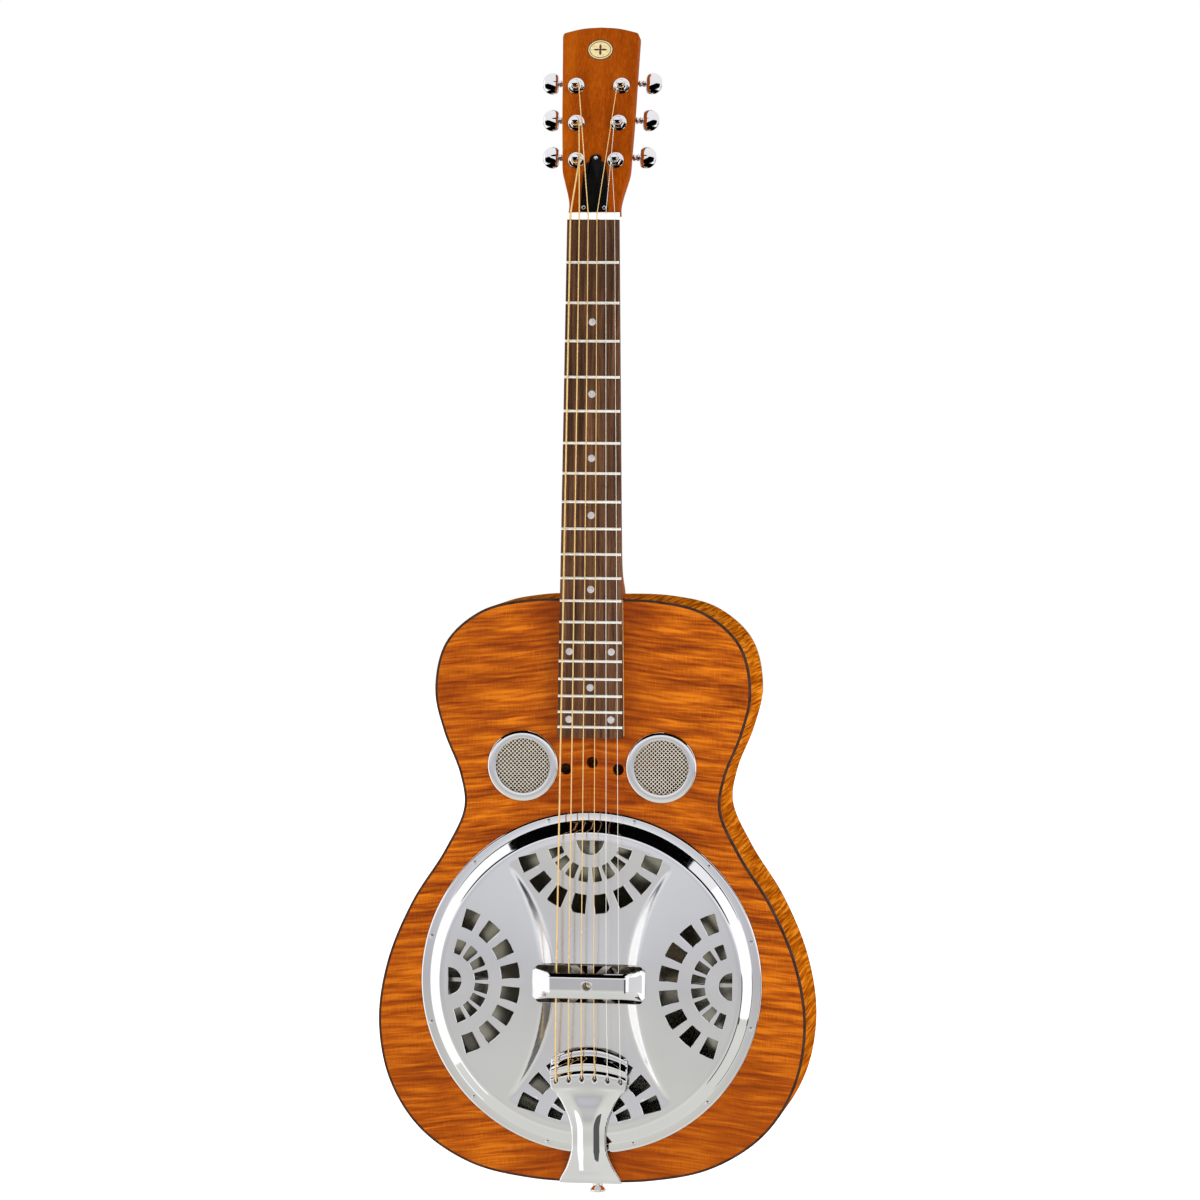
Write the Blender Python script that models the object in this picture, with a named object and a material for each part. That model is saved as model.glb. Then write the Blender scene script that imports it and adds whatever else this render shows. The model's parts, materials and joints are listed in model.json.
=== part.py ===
"""Resonator guitar: wood body, spider bridge, round neck, six strings.

Every figure is in millimetres and becomes metres where a mesh or a place is made.
+Z runs up the neck, the front faces -Y, and +X is the treble side. The origin is the centre
of the strap button's flat end, which is the lowest point of the instrument.
A height h is measured forwards from the face of the top plate.
"""

from math import atan2, copysign, cos, hypot, pi, radians, sin, sqrt, tan

import bmesh
import bpy

MM = 0.001
GAP = 0.3

# Body. Z below is counted from the tail of the body, which stands above the strap button's end.
TAIL_Z = 15.5
BODY_DEPTH = 93.0
OUTLINE = (
    (0.0, 0.0), (50.2, 1.9), (101.0, 13.2), (143.9, 41.0), (169.9, 81.0), (179.4, 131.0),
    (172.0, 182.0), (151.0, 232.5), (123.5, 276.0), (107.5, 312.0), (111.2, 340.0),
    (124.9, 375.0), (132.3, 409.0), (123.4, 449.0), (93.8, 475.6), (55.6, 485.2), (0.0, 486.4),
)
OUTLINE_STEPS = 2
TOP_THICK = 4.0
BACK_THICK = 3.0
SIDE_THICK = 2.5
BINDING_WIDE = 2.0
LINING_WIDE = 5.5
LINING_TALL = 12.0
BLOCK_HALF = 36.0
NECK_BLOCK_LONG = 60.0
TAIL_BLOCK_LONG = 22.0

# Resonator and coverplate, about a centre on the body's long axis.
PLATE_Z = TAIL_Z + 167.1
PLATE_R = 142.75
PLATE_SHEET = 1.2
BAND_R = (135.2, 131.0, 127.0, 123.5)
BAND_H = (1.5, 4.9, 8.2, 8.2)
DOME_SLOPE = 0.055
VALLEY_DEEP = 5.0
VALLEY_FADE_R = 119.0
RIDGE_ARC = 162.0
RIDGE_HALF = 35.0
RIDGE_SOFT = 13.0
PLATE_SCREWS = 12
PLATE_SCREW_R = 139.5
FAN_R = 121.0
FAN_STEP = 19.5
FAN_SLOTS = 8
SMALL_SLOT = (24.6, 36.4, 13.0)
LARGE_SLOT = (47.5, 63.0, 12.0)
D_HOLE_R = 11.4
D_HOLE_CHORD = 1.8
BRIDGE_HOLE_X = 44.5
BRIDGE_HOLE_Z = 15.4
WELL_HOLE_R = 136.5
WELL_OUT_R = 139.5
WELL_LEDGE_R = 128.6
WELL_LEDGE_H = -8.0
WELL_PORTS = 8
WELL_PORT_R = 17.0
CONE_R = 133.2
LEG_R = 131.0
LEGS = 8

# Palm rest, spider and saddles.
REST_H = 27.6
REST_SHEET = 1.4
# Half of the palm rest: distance from the middle, half width, height (none for a foot on the plate).
REST_STATIONS = (
    (49.5, 12.8, None), (45.8, 13.2, None), (41.5, 12.8, 18.8), (37.0, 11.9, 23.6), (31.5, 10.6, REST_H),
)
SPIDER_FOOT_H = (-6.8, -1.6)
SPIDER_MID_H = (-2.0, 3.0)
SPIDER_HUB_H = (-2.0, 4.0)
HUB_H = (-2.0, 8.5)
SADDLE_X = (3.7, 29.0)
SADDLE_FLOOR_H = 2.6
SADDLE_HALF = 1.7

# Holes in the top.
SCREEN_X = 58.0
SCREEN_Z = TAIL_Z + 347.2
SCREEN_R = 29.75
SCREEN_OPEN_R = 22.5
SCREEN_HOLE_R = 27.0
SMALL_HOLE_R = 4.75
SMALL_HOLES = ((-21.9, TAIL_Z + 344.9), (0.0, TAIL_Z + 350.6), (21.9, TAIL_Z + 344.9))

# Tailpiece and strap button.
TAIL_SHEET = 1.4
TAIL_SLOT_Z = 102.7
TAIL_SLOT_BOW = 4.2
# Underside of the tailpiece: distance up the body, height, half width, and how far the edges sit back.
TAIL_STATIONS = (
    (128.0, 9.4, 30.0, 9.5), (127.2, 12.4, 31.6, 9.2), (122.0, 13.7, 32.4, 8.0), (110.0, 14.2, 32.4, 6.0),
    (99.0, 14.4, 31.4, 4.0), (92.0, 14.0, 26.5, 0.0), (80.5, 13.1, 21.6, 0.0), (71.5, 12.1, 17.2, 0.0),
    (61.0, 11.2, 14.9, 0.0), (46.0, 10.2, 14.7, 0.0), (38.0, 7.8, 16.4, 0.0), (27.5, 3.6, 20.4, 0.0),
    (18.5, 1.0, 25.4, 0.0), (TAIL_Z - GAP, 0.3, 26.0, 0.0), (TAIL_Z - GAP, -12.0, 23.0, 0.0),
    (TAIL_Z - GAP, -38.0, 12.0, 0.0), (TAIL_Z - GAP, -54.0, 10.0, 0.0),
)
BUTTON_SHANK_R = 3.2

# Neck and strings.
SCALE = 628.65
NUT_Z = TAIL_Z + 799.9
BOARD_END_Z = TAIL_Z + 372.0
BOARD_END_H = 14.0
BOARD_THICK = 5.8
NECK_SLOPE = 0.0123
BOARD_HALF_NUT = 21.5
BOARD_HALF_END = 27.3
FRETS = 19
FRET_TALL = 1.1
FRET_HALF = 1.1
NUT_THICK = 6.0
HEEL_Z = TAIL_Z + 486.4
HEEL_DEEP = 84.0
STRING_SIDES = 6
STRING_RADII = (0.20, 0.23, 0.33, 0.43, 0.54, 0.70)
NUT_PITCH = 7.36
SADDLE_PITCH = 10.45
TAIL_PITCH = 10.8
NUT_STRING_H = 10.7
SADDLE_STRING_H = 22.3

# Headstock, in its own frame: x across, o outwards from its face, s up along the face.
HEAD_TILT = radians(14.0)
HEAD_FACE_H = 2.4
HEAD_Z = NUT_Z + NUT_THICK
HEAD_THICK = 15.0
HEAD_HALF = (
    (21.2, 0.0), (21.0, 7.0), (22.4, 15.0), (25.4, 26.0), (27.6, 35.0), (29.7, 79.0),
    (31.9, 150.3), (31.2, 153.2), (29.0, 154.6), (15.0, 157.9),
)
HEAD_TOP = 159.0
COVER_HALF = (
    (11.3, 0.8), (10.9, 18.0), (10.2, 30.0), (8.6, 38.0), (7.5, 42.0), (4.0, 43.5), (4.5, 46.5),
    (3.2, 49.0),
)
COVER_THICK = 1.9

# Neck, its tenon and its rod.
TENON_X = 14.0
TENON_LONG = 24.0
# Neck sections: distance above the body, depth, and how square and drawn in the heel is.
NECK_STATIONS = (
    (0.0, 86.0, 0.42), (4.0, 84.0, 0.42), (9.0, 76.0, 0.40), (15.0, 62.0, 0.36), (22.0, 48.0, 0.30),
    (30.0, 37.0, 0.22), (40.0, 28.5, 0.12), (54.0, 23.0, 0.04), (75.0, 19.8, 0.0), (120.0, 18.6, 0.0),
    (200.0, 17.6, 0.0), (290.0, 16.2, 0.0), (HEAD_Z - HEEL_Z - 0.5, 15.4, 0.0),
)
ROD_DEEP = 7.5
ROD_R = 2.8
ROD_Z = (HEEL_Z + 22.0, HEAD_Z + 2.0)
ROD_NUT_Z = (HEAD_Z + 4.0, HEAD_Z + 13.0)

# Tuners. Rows run from the nut to the tip.
POST_S = (44.4, 76.4, 108.2)
POST_X = (16.3, 17.6, 19.0)
POST_R = 3.0
POST_WAIST_R = 2.4
POST_TOP = 10.6
STRING_OUT = (5.0, 5.9, 6.2)
WORM_OFFSET = 8.0
WORM_DEEP = 20.2
WHEEL_TEETH = 14
WHEEL_PITCH_R = 5.4
WHEEL_TIP_R = 5.95
WHEEL_ROOT_R = 4.35
WHEEL_HALF = 1.5
WORM_TIP_R = 3.25
WORM_ROOT_R = 1.7
WORM_TURNS = 2
WORM_SIDES = 10
WORM_PITCH = 2.0 * pi * WHEEL_PITCH_R / WHEEL_TEETH
BUTTON_OUT = 25.0
HOUSING_BACK = 25.1
HOUSING_HALF = 7.9
HOUSING_S = (-7.9, 13.2)
# Shaft and knob beyond the worm: distance out, half thickness, half height.
BUTTON_STATIONS = (
    (4.4, 1.7, 1.7), (11.7, 1.7, 1.7), (11.8, 2.9, 2.9), (13.6, 2.9, 2.9), (14.2, 2.1, 2.1),
    (14.9, 2.9, 2.9), (16.8, 2.9, 2.9), (18.4, 2.1, 2.6), (19.3, 3.4, 7.2), (22.4, 4.1, 8.8),
    (27.0, 3.9, 8.0), (31.1, 1.2, 2.6),
)


# ---------------------------------------------------------------- shapes


def front(h):
    """Y of a height h in front of the top's face."""
    return -BODY_DEPTH / 2.0 - h


def circle(radius, steps, turn=0.0, squash=1.0):
    """Points (a, b) round the origin."""
    angles = [turn + 2.0 * pi * k / steps for k in range(steps)]
    return [(radius * cos(t), squash * radius * sin(t)) for t in angles]


def across_y(pairs, y, x=0.0, z=0.0):
    return [(x + a, y, z + b) for a, b in pairs]


def across_z(pairs, z, x=0.0, y=0.0):
    return [(x + a, y + b, z) for a, b in pairs]


def across_x(pairs, x, y=0.0, z=0.0):
    return [(x, y + a, z + b) for a, b in pairs]


def skin(sections, looped=False):
    """Points and faces over equal rings of points, capped at both ends or looped into a tube."""
    count = len(sections[0])
    points = [p for section in sections for p in section]
    faces = []
    rows = len(sections)
    for row in range(rows if looped else rows - 1):
        near = row * count
        far = (row + 1) % rows * count
        for k in range(count):
            after = (k + 1) % count
            faces.append((near + k, near + after, far + after, far + k))
    if not looped:
        faces.append(tuple(range(count)))
        faces.append(tuple(range((rows - 1) * count, rows * count)))
    return points, faces


def box(x, y, z):
    """A block between three pairs of limits."""
    corners = [(x[0], z[0]), (x[1], z[0]), (x[1], z[1]), (x[0], z[1])]
    return skin([across_y(corners, y[0]), across_y(corners, y[1])])


def rod(radius, steps, y, x=0.0, z=0.0):
    """A round bar along Y."""
    ring = circle(radius, steps)
    return skin([across_y(ring, y[0], x, z), across_y(ring, y[1], x, z)])


def turned(profile, steps, place, looped=False):
    """A profile of (radius, distance) turned about an axis; place puts a ring at a distance."""
    return skin([place(circle(max(r, 1e-6), steps), d) for r, d in profile], looped)


def several(shapes):
    """One mesh that holds several shapes."""
    points = []
    faces = []
    for more_points, more_faces in shapes:
        start = len(points)
        points += more_points
        faces += [tuple(start + k for k in face) for face in more_faces]
    return points, faces


# ---------------------------------------------------------------- objects


def material(name, colour, roughness, metallic=0.0):
    made = bpy.data.materials.new(name)
    made.use_nodes = True
    shader = made.node_tree.nodes["Principled BSDF"]
    shader.inputs["Base Color"].default_value = (*colour, 1.0)
    shader.inputs["Roughness"].default_value = roughness
    shader.inputs["Metallic"].default_value = metallic
    return made


def thing(name, shape, finish, parent=None, place=(0.0, 0.0, 0.0), sharp=32.0):
    """An object from points and faces in millimetres, its origin at place."""
    mesh = bpy.data.meshes.new(name)
    mesh.from_pydata([tuple(c * MM for c in p) for p in shape[0]], [], shape[1])
    work = bmesh.new()
    work.from_mesh(mesh)
    bmesh.ops.remove_doubles(work, verts=work.verts, dist=1e-3 * MM)
    bmesh.ops.recalc_face_normals(work, faces=work.faces)
    work.to_mesh(mesh)
    work.free()
    mesh.shade_smooth()
    mesh.set_sharp_from_angle(angle=radians(sharp))
    mesh.materials.append(finish)
    made = bpy.data.objects.new(name, mesh)
    bpy.context.scene.collection.objects.link(made)
    made.parent = parent
    made.location = [c * MM for c in place]
    return made


def boolean(target, operation, name, shape, parent=None, place=(0.0, 0.0, 0.0)):
    """Cuts a shape from target or joins it on, through a hidden helper object."""
    helper = thing(name, shape, target.data.materials[0], parent, place)
    helper.hide_render = True
    helper.display_type = "WIRE"
    modifier = target.modifiers.new(name, "BOOLEAN")
    modifier.operation = operation
    modifier.solver = "EXACT"
    modifier.object = helper


def cut(target, name, shape, parent=None, place=(0.0, 0.0, 0.0)):
    boolean(target, "DIFFERENCE", name, shape, parent, place)


def join(target, name, shape, parent=None, place=(0.0, 0.0, 0.0)):
    boolean(target, "UNION", name, shape, parent, place)


# ---------------------------------------------------------------- body


def spline(points, steps):
    """A centripetal Catmull-Rom curve through points, mirrored beyond both ends."""
    first = (-points[1][0], points[1][1])
    last = (-points[-2][0], points[-2][1])
    chain = [first, *points, last]
    curve = []
    for k in range(1, len(chain) - 2):
        four = chain[k - 1:k + 3]
        knots = [0.0]
        for near, far in zip(four, four[1:]):
            knots.append(knots[-1] + sqrt(hypot(far[0] - near[0], far[1] - near[1])))
        for step in range(steps):
            t = knots[1] + (knots[2] - knots[1]) * step / steps
            level = four
            for order in (1, 2, 3):
                offset = 1 if order == 3 else 0
                following = []
                for j in range(len(level) - 1):
                    low = knots[j + offset] if order < 3 else knots[1]
                    high = knots[j + order] if order < 3 else knots[2]
                    share = (t - low) / (high - low)
                    a, b = level[j], level[j + 1]
                    following.append(tuple((1 - share) * p + share * q for p, q in zip(a, b)))
                level = following
            curve.append(level[0])
    curve.append(points[-1])
    return curve


def body_outline(inset):
    """The body's closed outline as (x, z), pulled inwards by inset."""
    half = spline(OUTLINE, OUTLINE_STEPS)
    whole = half + [(-x, z) for x, z in reversed(half[1:-1])]
    count = len(whole)
    pulled = []
    for k, (x, z) in enumerate(whole):
        before = whole[k - 1]
        after = whole[(k + 1) % count]
        along = (after[0] - before[0], after[1] - before[1])
        size = hypot(*along)
        pulled.append((x - inset * along[1] / size, z + inset * along[0] / size + TAIL_Z))
    return pulled


def hoop(outer, inner, y):
    """A strip that follows the body's outline between two insets."""
    out = body_outline(outer)
    inside = body_outline(inner)
    return skin([across_y(out, y[0]), across_y(out, y[1]),
                 across_y(inside, y[1]), across_y(inside, y[0])], looped=True)


TOP_INNER_Y = front(-TOP_THICK)
BACK_Y = BODY_DEPTH / 2.0
BACK_INNER_Y = BACK_Y - BACK_THICK
SIDE_Y = (TOP_INNER_Y + GAP, BACK_INNER_Y - GAP)
PLATE_INSET = BINDING_WIDE + GAP
LINING_INSET = SIDE_THICK + GAP
TENON_Y = (front(-18.0), front(-66.0))
def build_plates(maple, binding):
    top = thing("top_plate", skin([across_y(body_outline(PLATE_INSET), front(0.0)),
                                   across_y(body_outline(PLATE_INSET), TOP_INNER_Y)]), maple)
    through = (front(3.0), TOP_INNER_Y + 3.0)
    cut(top, "resonator_opening", rod(WELL_HOLE_R, 48, through, 0.0, PLATE_Z))
    screens = [rod(SCREEN_HOLE_R, 20, through, side * SCREEN_X, SCREEN_Z) for side in (-1, 1)]
    cut(top, "screen_openings", several(screens))
    cut(top, "small_sound_holes", several([rod(SMALL_HOLE_R, 12, through, x, z) for x, z in SMALL_HOLES]))
    thing("back_plate", skin([across_y(body_outline(PLATE_INSET), BACK_INNER_Y),
                              across_y(body_outline(PLATE_INSET), BACK_Y)]), maple)
    thing("top_binding", hoop(0.0, BINDING_WIDE, (front(0.0), TOP_INNER_Y)), binding)
    thing("back_binding", hoop(0.0, BINDING_WIDE, (BACK_INNER_Y, BACK_Y)), binding)
    sides = thing("sides", hoop(0.0, SIDE_THICK, SIDE_Y), maple)
    cut(sides, "side_tenon_slot", tenon(GAP, HEEL_Z + 5.0))
    cut(sides, "side_button_hole", shank_hole(BUTTON_SHANK_R + GAP))


def tenon(grow, high_z):
    """The neck's tongue, or with grow the slot that takes it."""
    y = (TENON_Y[0] - grow, TENON_Y[1] + grow)
    return box((-TENON_X - grow, TENON_X + grow), y, (HEEL_Z - TENON_LONG - grow, high_z))


def shank_hole(radius):
    ring = circle(radius, 12)
    return skin([across_z(ring, 8.0), across_z(ring, TAIL_Z + TAIL_BLOCK_LONG + 9.0)])


def lining_shape(y_plate, inwards, grow=0.0):
    """A kerfed lining strip against a plate, bevelled on its inner side."""
    deep = y_plate + inwards * LINING_TALL
    if grow:
        return hoop(LINING_INSET - 2.0, LINING_INSET + LINING_WIDE + grow,
                    (y_plate - inwards, deep + inwards * grow))
    foot = body_outline(LINING_INSET)
    edge = body_outline(LINING_INSET + LINING_WIDE)
    return skin([across_y(foot, y_plate), across_y(foot, deep), across_y(edge, y_plate)], looped=True)


def rim_stretch(upper):
    """The inside of the sides across a block, from -X to +X, at the neck end or the tail end."""
    rim = sorted(p for p in body_outline(LINING_INSET) if (p[1] > PLATE_Z) == upper)
    stretch = []
    for low, high in zip(rim, rim[1:]):
        for limit in (-BLOCK_HALF, BLOCK_HALF):
            if low[0] < limit < high[0]:
                share = (limit - low[0]) / (high[0] - low[0])
                stretch.append((limit, low[1] + share * (high[1] - low[1])))
        if abs(high[0]) < BLOCK_HALF:
            stretch.append(high)
    return sorted(stretch)


def build_inside(spruce, poplar):
    thing("top_lining", lining_shape(SIDE_Y[0], 1.0), spruce)
    thing("back_lining", lining_shape(SIDE_Y[1], -1.0), spruce)
    neck_end = HEEL_Z - NECK_BLOCK_LONG
    tail_end = TAIL_Z + LINING_INSET + TAIL_BLOCK_LONG
    for name, upper, end in (("neck_block", True, neck_end), ("tail_block", False, tail_end)):
        outline = [(-BLOCK_HALF, end), *rim_stretch(upper), (BLOCK_HALF, end)]
        block = thing(name, skin([across_y(outline, SIDE_Y[0]), across_y(outline, SIDE_Y[1])]), spruce)
        cut(block, name + "_top_notch", lining_shape(SIDE_Y[0], 1.0, GAP))
        cut(block, name + "_back_notch", lining_shape(SIDE_Y[1], -1.0, GAP))
        if name == "neck_block":
            cut(block, "neck_block_mortise", tenon(GAP, HEEL_Z + 5.0))
        else:
            cut(block, "tail_block_hole", shank_hole(BUTTON_SHANK_R + GAP))
    build_well(poplar)


def build_well(poplar):
    """The ring under the top, with a ledge for the cone and ports to the rest of the body."""
    ledge_y = front(WELL_LEDGE_H)
    profile = (
        (WELL_OUT_R, SIDE_Y[0]), (WELL_OUT_R, SIDE_Y[1]), (WELL_LEDGE_R, SIDE_Y[1]),
        (WELL_LEDGE_R, ledge_y), (WELL_HOLE_R, ledge_y), (WELL_HOLE_R, SIDE_Y[0]),
    )
    well = thing("soundwell", turned(profile, 36, lambda ring, y: across_y(ring, y, 0.0, PLATE_Z), True),
                 poplar)
    ports = []
    for k in range(WELL_PORTS):
        turn = 2.0 * pi * (k + 0.5) / WELL_PORTS
        rings = []
        for r in (WELL_LEDGE_R - 6.0, WELL_OUT_R + 6.0):
            ring = [(r * cos(turn) - a * sin(turn), 8.0 + b, PLATE_Z + r * sin(turn) + a * cos(turn))
                    for a, b in circle(WELL_PORT_R, 8, pi / 8.0, 1.2)]
            rings.append(ring)
        ports.append(skin(rings))
    cut(well, "well_ports", several(ports))


# ---------------------------------------------------------------- resonator


def dome_height(x, z):
    """The coverplate's front at (x, z) from its centre, inside the shoulder band."""
    r = hypot(x, z)
    high = BAND_H[-1] + DOME_SLOPE * (BAND_R[-1] - r)
    from_arc = RIDGE_ARC - hypot(abs(x) - RIDGE_ARC - RIDGE_HALF, z)
    share = min(1.0, max(0.0, 0.5 - from_arc / RIDGE_SOFT))
    smooth = share * share * (3.0 - 2.0 * share)
    fade = max(0.0, 1.0 - (r / VALLEY_FADE_R) ** 2)
    return high - VALLEY_DEEP * smooth * fade


def fan_cutters():
    """Four fans, each with a D-shaped hole and two arcs of slots that open towards the centre."""
    y = (front(16.0), front(-4.0))
    shapes = []
    for quarter in range(4):
        facing = quarter * pi / 2.0
        hub = (FAN_R * cos(facing), FAN_R * sin(facing))
        cross = (hub[0] * (1.0 - D_HOLE_CHORD / FAN_R), hub[1] * (1.0 - D_HOLE_CHORD / FAN_R))
        arc = [facing + pi / 2.0 + pi * k / 8.0 for k in range(9)]
        outline = [(cross[0] + D_HOLE_R * cos(t), cross[1] + D_HOLE_R * sin(t)) for t in arc]
        shapes.append(skin([across_y(outline, y[0], 0.0, PLATE_Z), across_y(outline, y[1], 0.0, PLATE_Z)]))
        for near, far, wide in (SMALL_SLOT, LARGE_SLOT):
            for k in range(FAN_SLOTS):
                middle = facing + pi + radians(FAN_STEP * (k - (FAN_SLOTS - 1) / 2.0))
                spread = radians(wide / 2.0)
                corners = ((near, -spread), (far, -spread), (far, spread), (near, spread))
                outline = [(hub[0] + r * cos(middle + t), hub[1] + r * sin(middle + t)) for r, t in corners]
                shapes.append(skin([across_y(outline, y[0], 0.0, PLATE_Z),
                                    across_y(outline, y[1], 0.0, PLATE_Z)]))
    return several(shapes)


def build_coverplate(chrome):
    steps = 40
    radii = [PLATE_R, *BAND_R, 106.0, 86.0, 66.0, 46.0, 22.0]
    shells = []
    for sheet in (0.0, PLATE_SHEET):
        rings = []
        for r in radii:
            ring = []
            for x, z in circle(r, steps, pi / steps):
                if r == PLATE_R:
                    h = BAND_H[0]
                elif r in BAND_R:
                    h = BAND_H[BAND_R.index(r)]
                else:
                    h = dome_height(x, z)
                ring.append((x, front(h - sheet), PLATE_Z + z))
            rings.append(ring)
        shells.append(rings)
    outer, inner = shells
    plate = thing("coverplate", skin([*outer[::-1], *inner]), chrome)
    cut(plate, "fan_slots", fan_cutters())
    opening = (-BRIDGE_HOLE_X, BRIDGE_HOLE_X)
    cut(plate, "bridge_opening", box(opening, (front(22.0), front(-6.0)),
                                     (PLATE_Z - BRIDGE_HOLE_Z, PLATE_Z + BRIDGE_HOLE_Z)))
    holes = []
    for k in range(PLATE_SCREWS):
        turn = 2.0 * pi * (k + 0.5) / PLATE_SCREWS
        x = PLATE_SCREW_R * cos(turn)
        holes.append(rod(1.2, 6, (front(5.0), front(-2.0)), x, PLATE_Z + PLATE_SCREW_R * sin(turn)))
    cut(plate, "plate_screw_holes", several(holes))


def build_palm_rest(chrome):
    """A strap of sheet across the bridge; its feet stand on the coverplate's side lobes."""
    stations = []
    for x, half, h in REST_STATIONS:
        foot = dome_height(x, 0.0) + GAP + REST_SHEET
        stations.append((x, half, foot if h is None else h))
    mirrored = [(-x, half, h) for x, half, h in stations]
    rings = []
    for x, half, h in mirrored + stations[::-1]:
        bevel = 1.0 if abs(x) < 45.0 else 0.0
        edge = [(-half, 3.6 * bevel), (-0.4 * half, 0.0), (0.7 * half, 0.0), (half, 1.4 * bevel)]
        upper = [(front(h - d), PLATE_Z + z) for z, d in edge]
        under = [(front(h - d - REST_SHEET), PLATE_Z + z) for z, d in reversed(edge)]
        rings.append([(x, y, z) for y, z in upper + under])
    rest = thing("palm_rest", skin(rings), chrome)
    cut(rest, "screw_access_hole", rod(3.4, 16, (front(REST_H + 3.0), front(REST_H - 5.0)), 0.0, PLATE_Z))


def build_cone(aluminium):
    sheet = 0.7
    run = ((CONE_R, -7.1), (127.0, -7.1), (124.5, -10.5), (62.0, -30.5), (26.0, -33.0),
           (14.0, -27.0), (6.0, -9.5), (2.4, -8.6))
    front_side = [(r, front(h)) for r, h in run]
    rear_side = [(r, front(h - sheet)) for r, h in reversed(run)]
    thing("resonator_cone",
          turned(front_side + rear_side, 24, lambda ring, y: across_y(ring, y, 0.0, PLATE_Z), True), aluminium)


def build_spider(cast, maple, steel):
    half = 2.6
    root = half / tan(pi / LEGS)
    outline = []
    for k in range(LEGS):
        turn = 2.0 * pi * k / LEGS
        for r, side in ((70.0, -half), (LEG_R, -1.6), (LEG_R, 1.6), (70.0, half)):
            outline.append((r, turn + atan2(side, r)))
        outline.append((root / cos(pi / LEGS), turn + pi / LEGS))
    heights = {70.0: SPIDER_MID_H, LEG_R: SPIDER_FOOT_H}
    points = []
    for level in (0, 1):
        for r, t in outline:
            h = heights.get(r, SPIDER_HUB_H)[level]
            points.append((r * cos(t), front(h), PLATE_Z + r * sin(t)))
    count = len(outline)
    faces = []
    for level in (0, 1):
        base = level * count
        crotch = [base + 5 * k + 4 for k in range(LEGS)]
        faces.append(tuple(crotch))
        for k in range(LEGS):
            leg = [base + 5 * k + j for j in range(4)]
            faces.append((crotch[k - 1], leg[0], leg[3], crotch[k]))
            faces.append((leg[0], leg[1], leg[2], leg[3]))
    for k in range(count):
        after = (k + 1) % count
        faces.append((k, after, count + after, count + k))
    spider = thing("spider_bridge", (points, faces), cast)
    join(spider, "spider_hub", box((-32.0, 32.0), (front(HUB_H[1]), front(HUB_H[0])),
                                   (PLATE_Z - 5.5, PLATE_Z + 5.5)))
    slots = []
    for side in (-1, 1):
        x = sorted((side * (SADDLE_X[0] - GAP), side * (SADDLE_X[1] + GAP)))
        slots.append(box(x, (front(12.0), front(SADDLE_FLOOR_H - GAP)),
                         (PLATE_Z - SADDLE_HALF - GAP, PLATE_Z + SADDLE_HALF + GAP)))
    cut(spider, "saddle_slots", several(slots))
    cut(spider, "tension_screw_bore", rod(2.0, 12, (front(12.0), front(-12.0)), 0.0, PLATE_Z))
    for name, side in (("saddle_bass", -1), ("saddle_treble", 1)):
        x = sorted((side * SADDLE_X[0], side * SADDLE_X[1]))
        top = SADDLE_STRING_H - max(STRING_RADII) - GAP
        thing(name, box(x, (front(top), front(SADDLE_FLOOR_H)),
                        (PLATE_Z - SADDLE_HALF, PLATE_Z + SADDLE_HALF)), maple)
    profile = ((0.0, front(-14.0)), (1.6, front(-13.0)), (1.6, front(HUB_H[1] + GAP)),
               (3.1, front(HUB_H[1] + GAP)), (3.1, front(HUB_H[1] + 1.8)), (1.6, front(HUB_H[1] + 2.8)),
               (0.0, front(HUB_H[1] + 2.9)))
    screw = thing("tension_screw", turned(profile, 12, across_y), steel, None, (0.0, 0.0, PLATE_Z))
    slot_y = (front(HUB_H[1] + 5.0), front(HUB_H[1] + 1.6))
    cut(screw, "tension_screw_slot", box((-1.9, 1.9), slot_y, (-0.4, 0.4)), None, (0.0, 0.0, PLATE_Z))


# ---------------------------------------------------------------- screens, tailpiece, strap button


def build_screens(chrome, wire):
    ring = ((29.75, 0.3), (29.0, 1.9), (23.4, 2.1), (22.5, 1.0), (22.5, -0.2), (25.6, -0.2),
            (25.6, -5.0), (26.5, -5.0), (26.5, 0.3))
    for name, side in (("bass", -1), ("treble", 1)):
        x = side * SCREEN_X
        section = [(r, front(h)) for r, h in ring]
        thing("screen_ring_" + name,
              turned(section, 20, lambda c, y, x=x: across_y(c, y, x, SCREEN_Z), True), chrome)
        thing("screen_mesh_" + name, rod(25.2, 20, (front(-0.5), front(-1.5)), x, SCREEN_Z), wire)


def build_tailpiece(chrome):
    """A stamped strip, from its arched head down to the tail and round it to the strap button."""
    rings = []
    last = len(TAIL_STATIONS) - 1
    for k, (z, h, half, bow) in enumerate(TAIL_STATIONS):
        before = TAIL_STATIONS[max(k - 1, 0)]
        after = TAIL_STATIONS[min(k + 1, last)]
        run = (after[0] - before[0], after[1] - before[1])
        size = hypot(*run)
        out_z = TAIL_SHEET * run[1] / size
        out_h = -TAIL_SHEET * run[0] / size
        across = (-1.0, -0.5, 0.0, 0.5, 1.0)
        upper = [(half * t, front(h + out_h), z + out_z - bow * t * t) for t in across]
        under = [(half * t, front(h), z - bow * t * t) for t in reversed(across)]
        rings.append(upper + under)
    tail = thing("tailpiece", skin(rings), chrome)
    slots = []
    for x in string_places(TAIL_PITCH):
        z = tail_slot_z(x)
        slots.append(box((x - 1.2, x + 1.2), (front(20.0), front(10.0)), (z - 1.6, z + 2.6)))
    cut(tail, "tail_slots", several(slots))
    cut(tail, "tail_button_hole", shank_hole(BUTTON_SHANK_R + GAP))


def string_places(pitch):
    """X of strings 1 to 6, from the treble side."""
    return [pitch * (2.5 - k) for k in range(6)]


def tail_slot_z(x):
    return TAIL_SLOT_Z + 2.0 - TAIL_SLOT_BOW * (x / 32.0) ** 2


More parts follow.
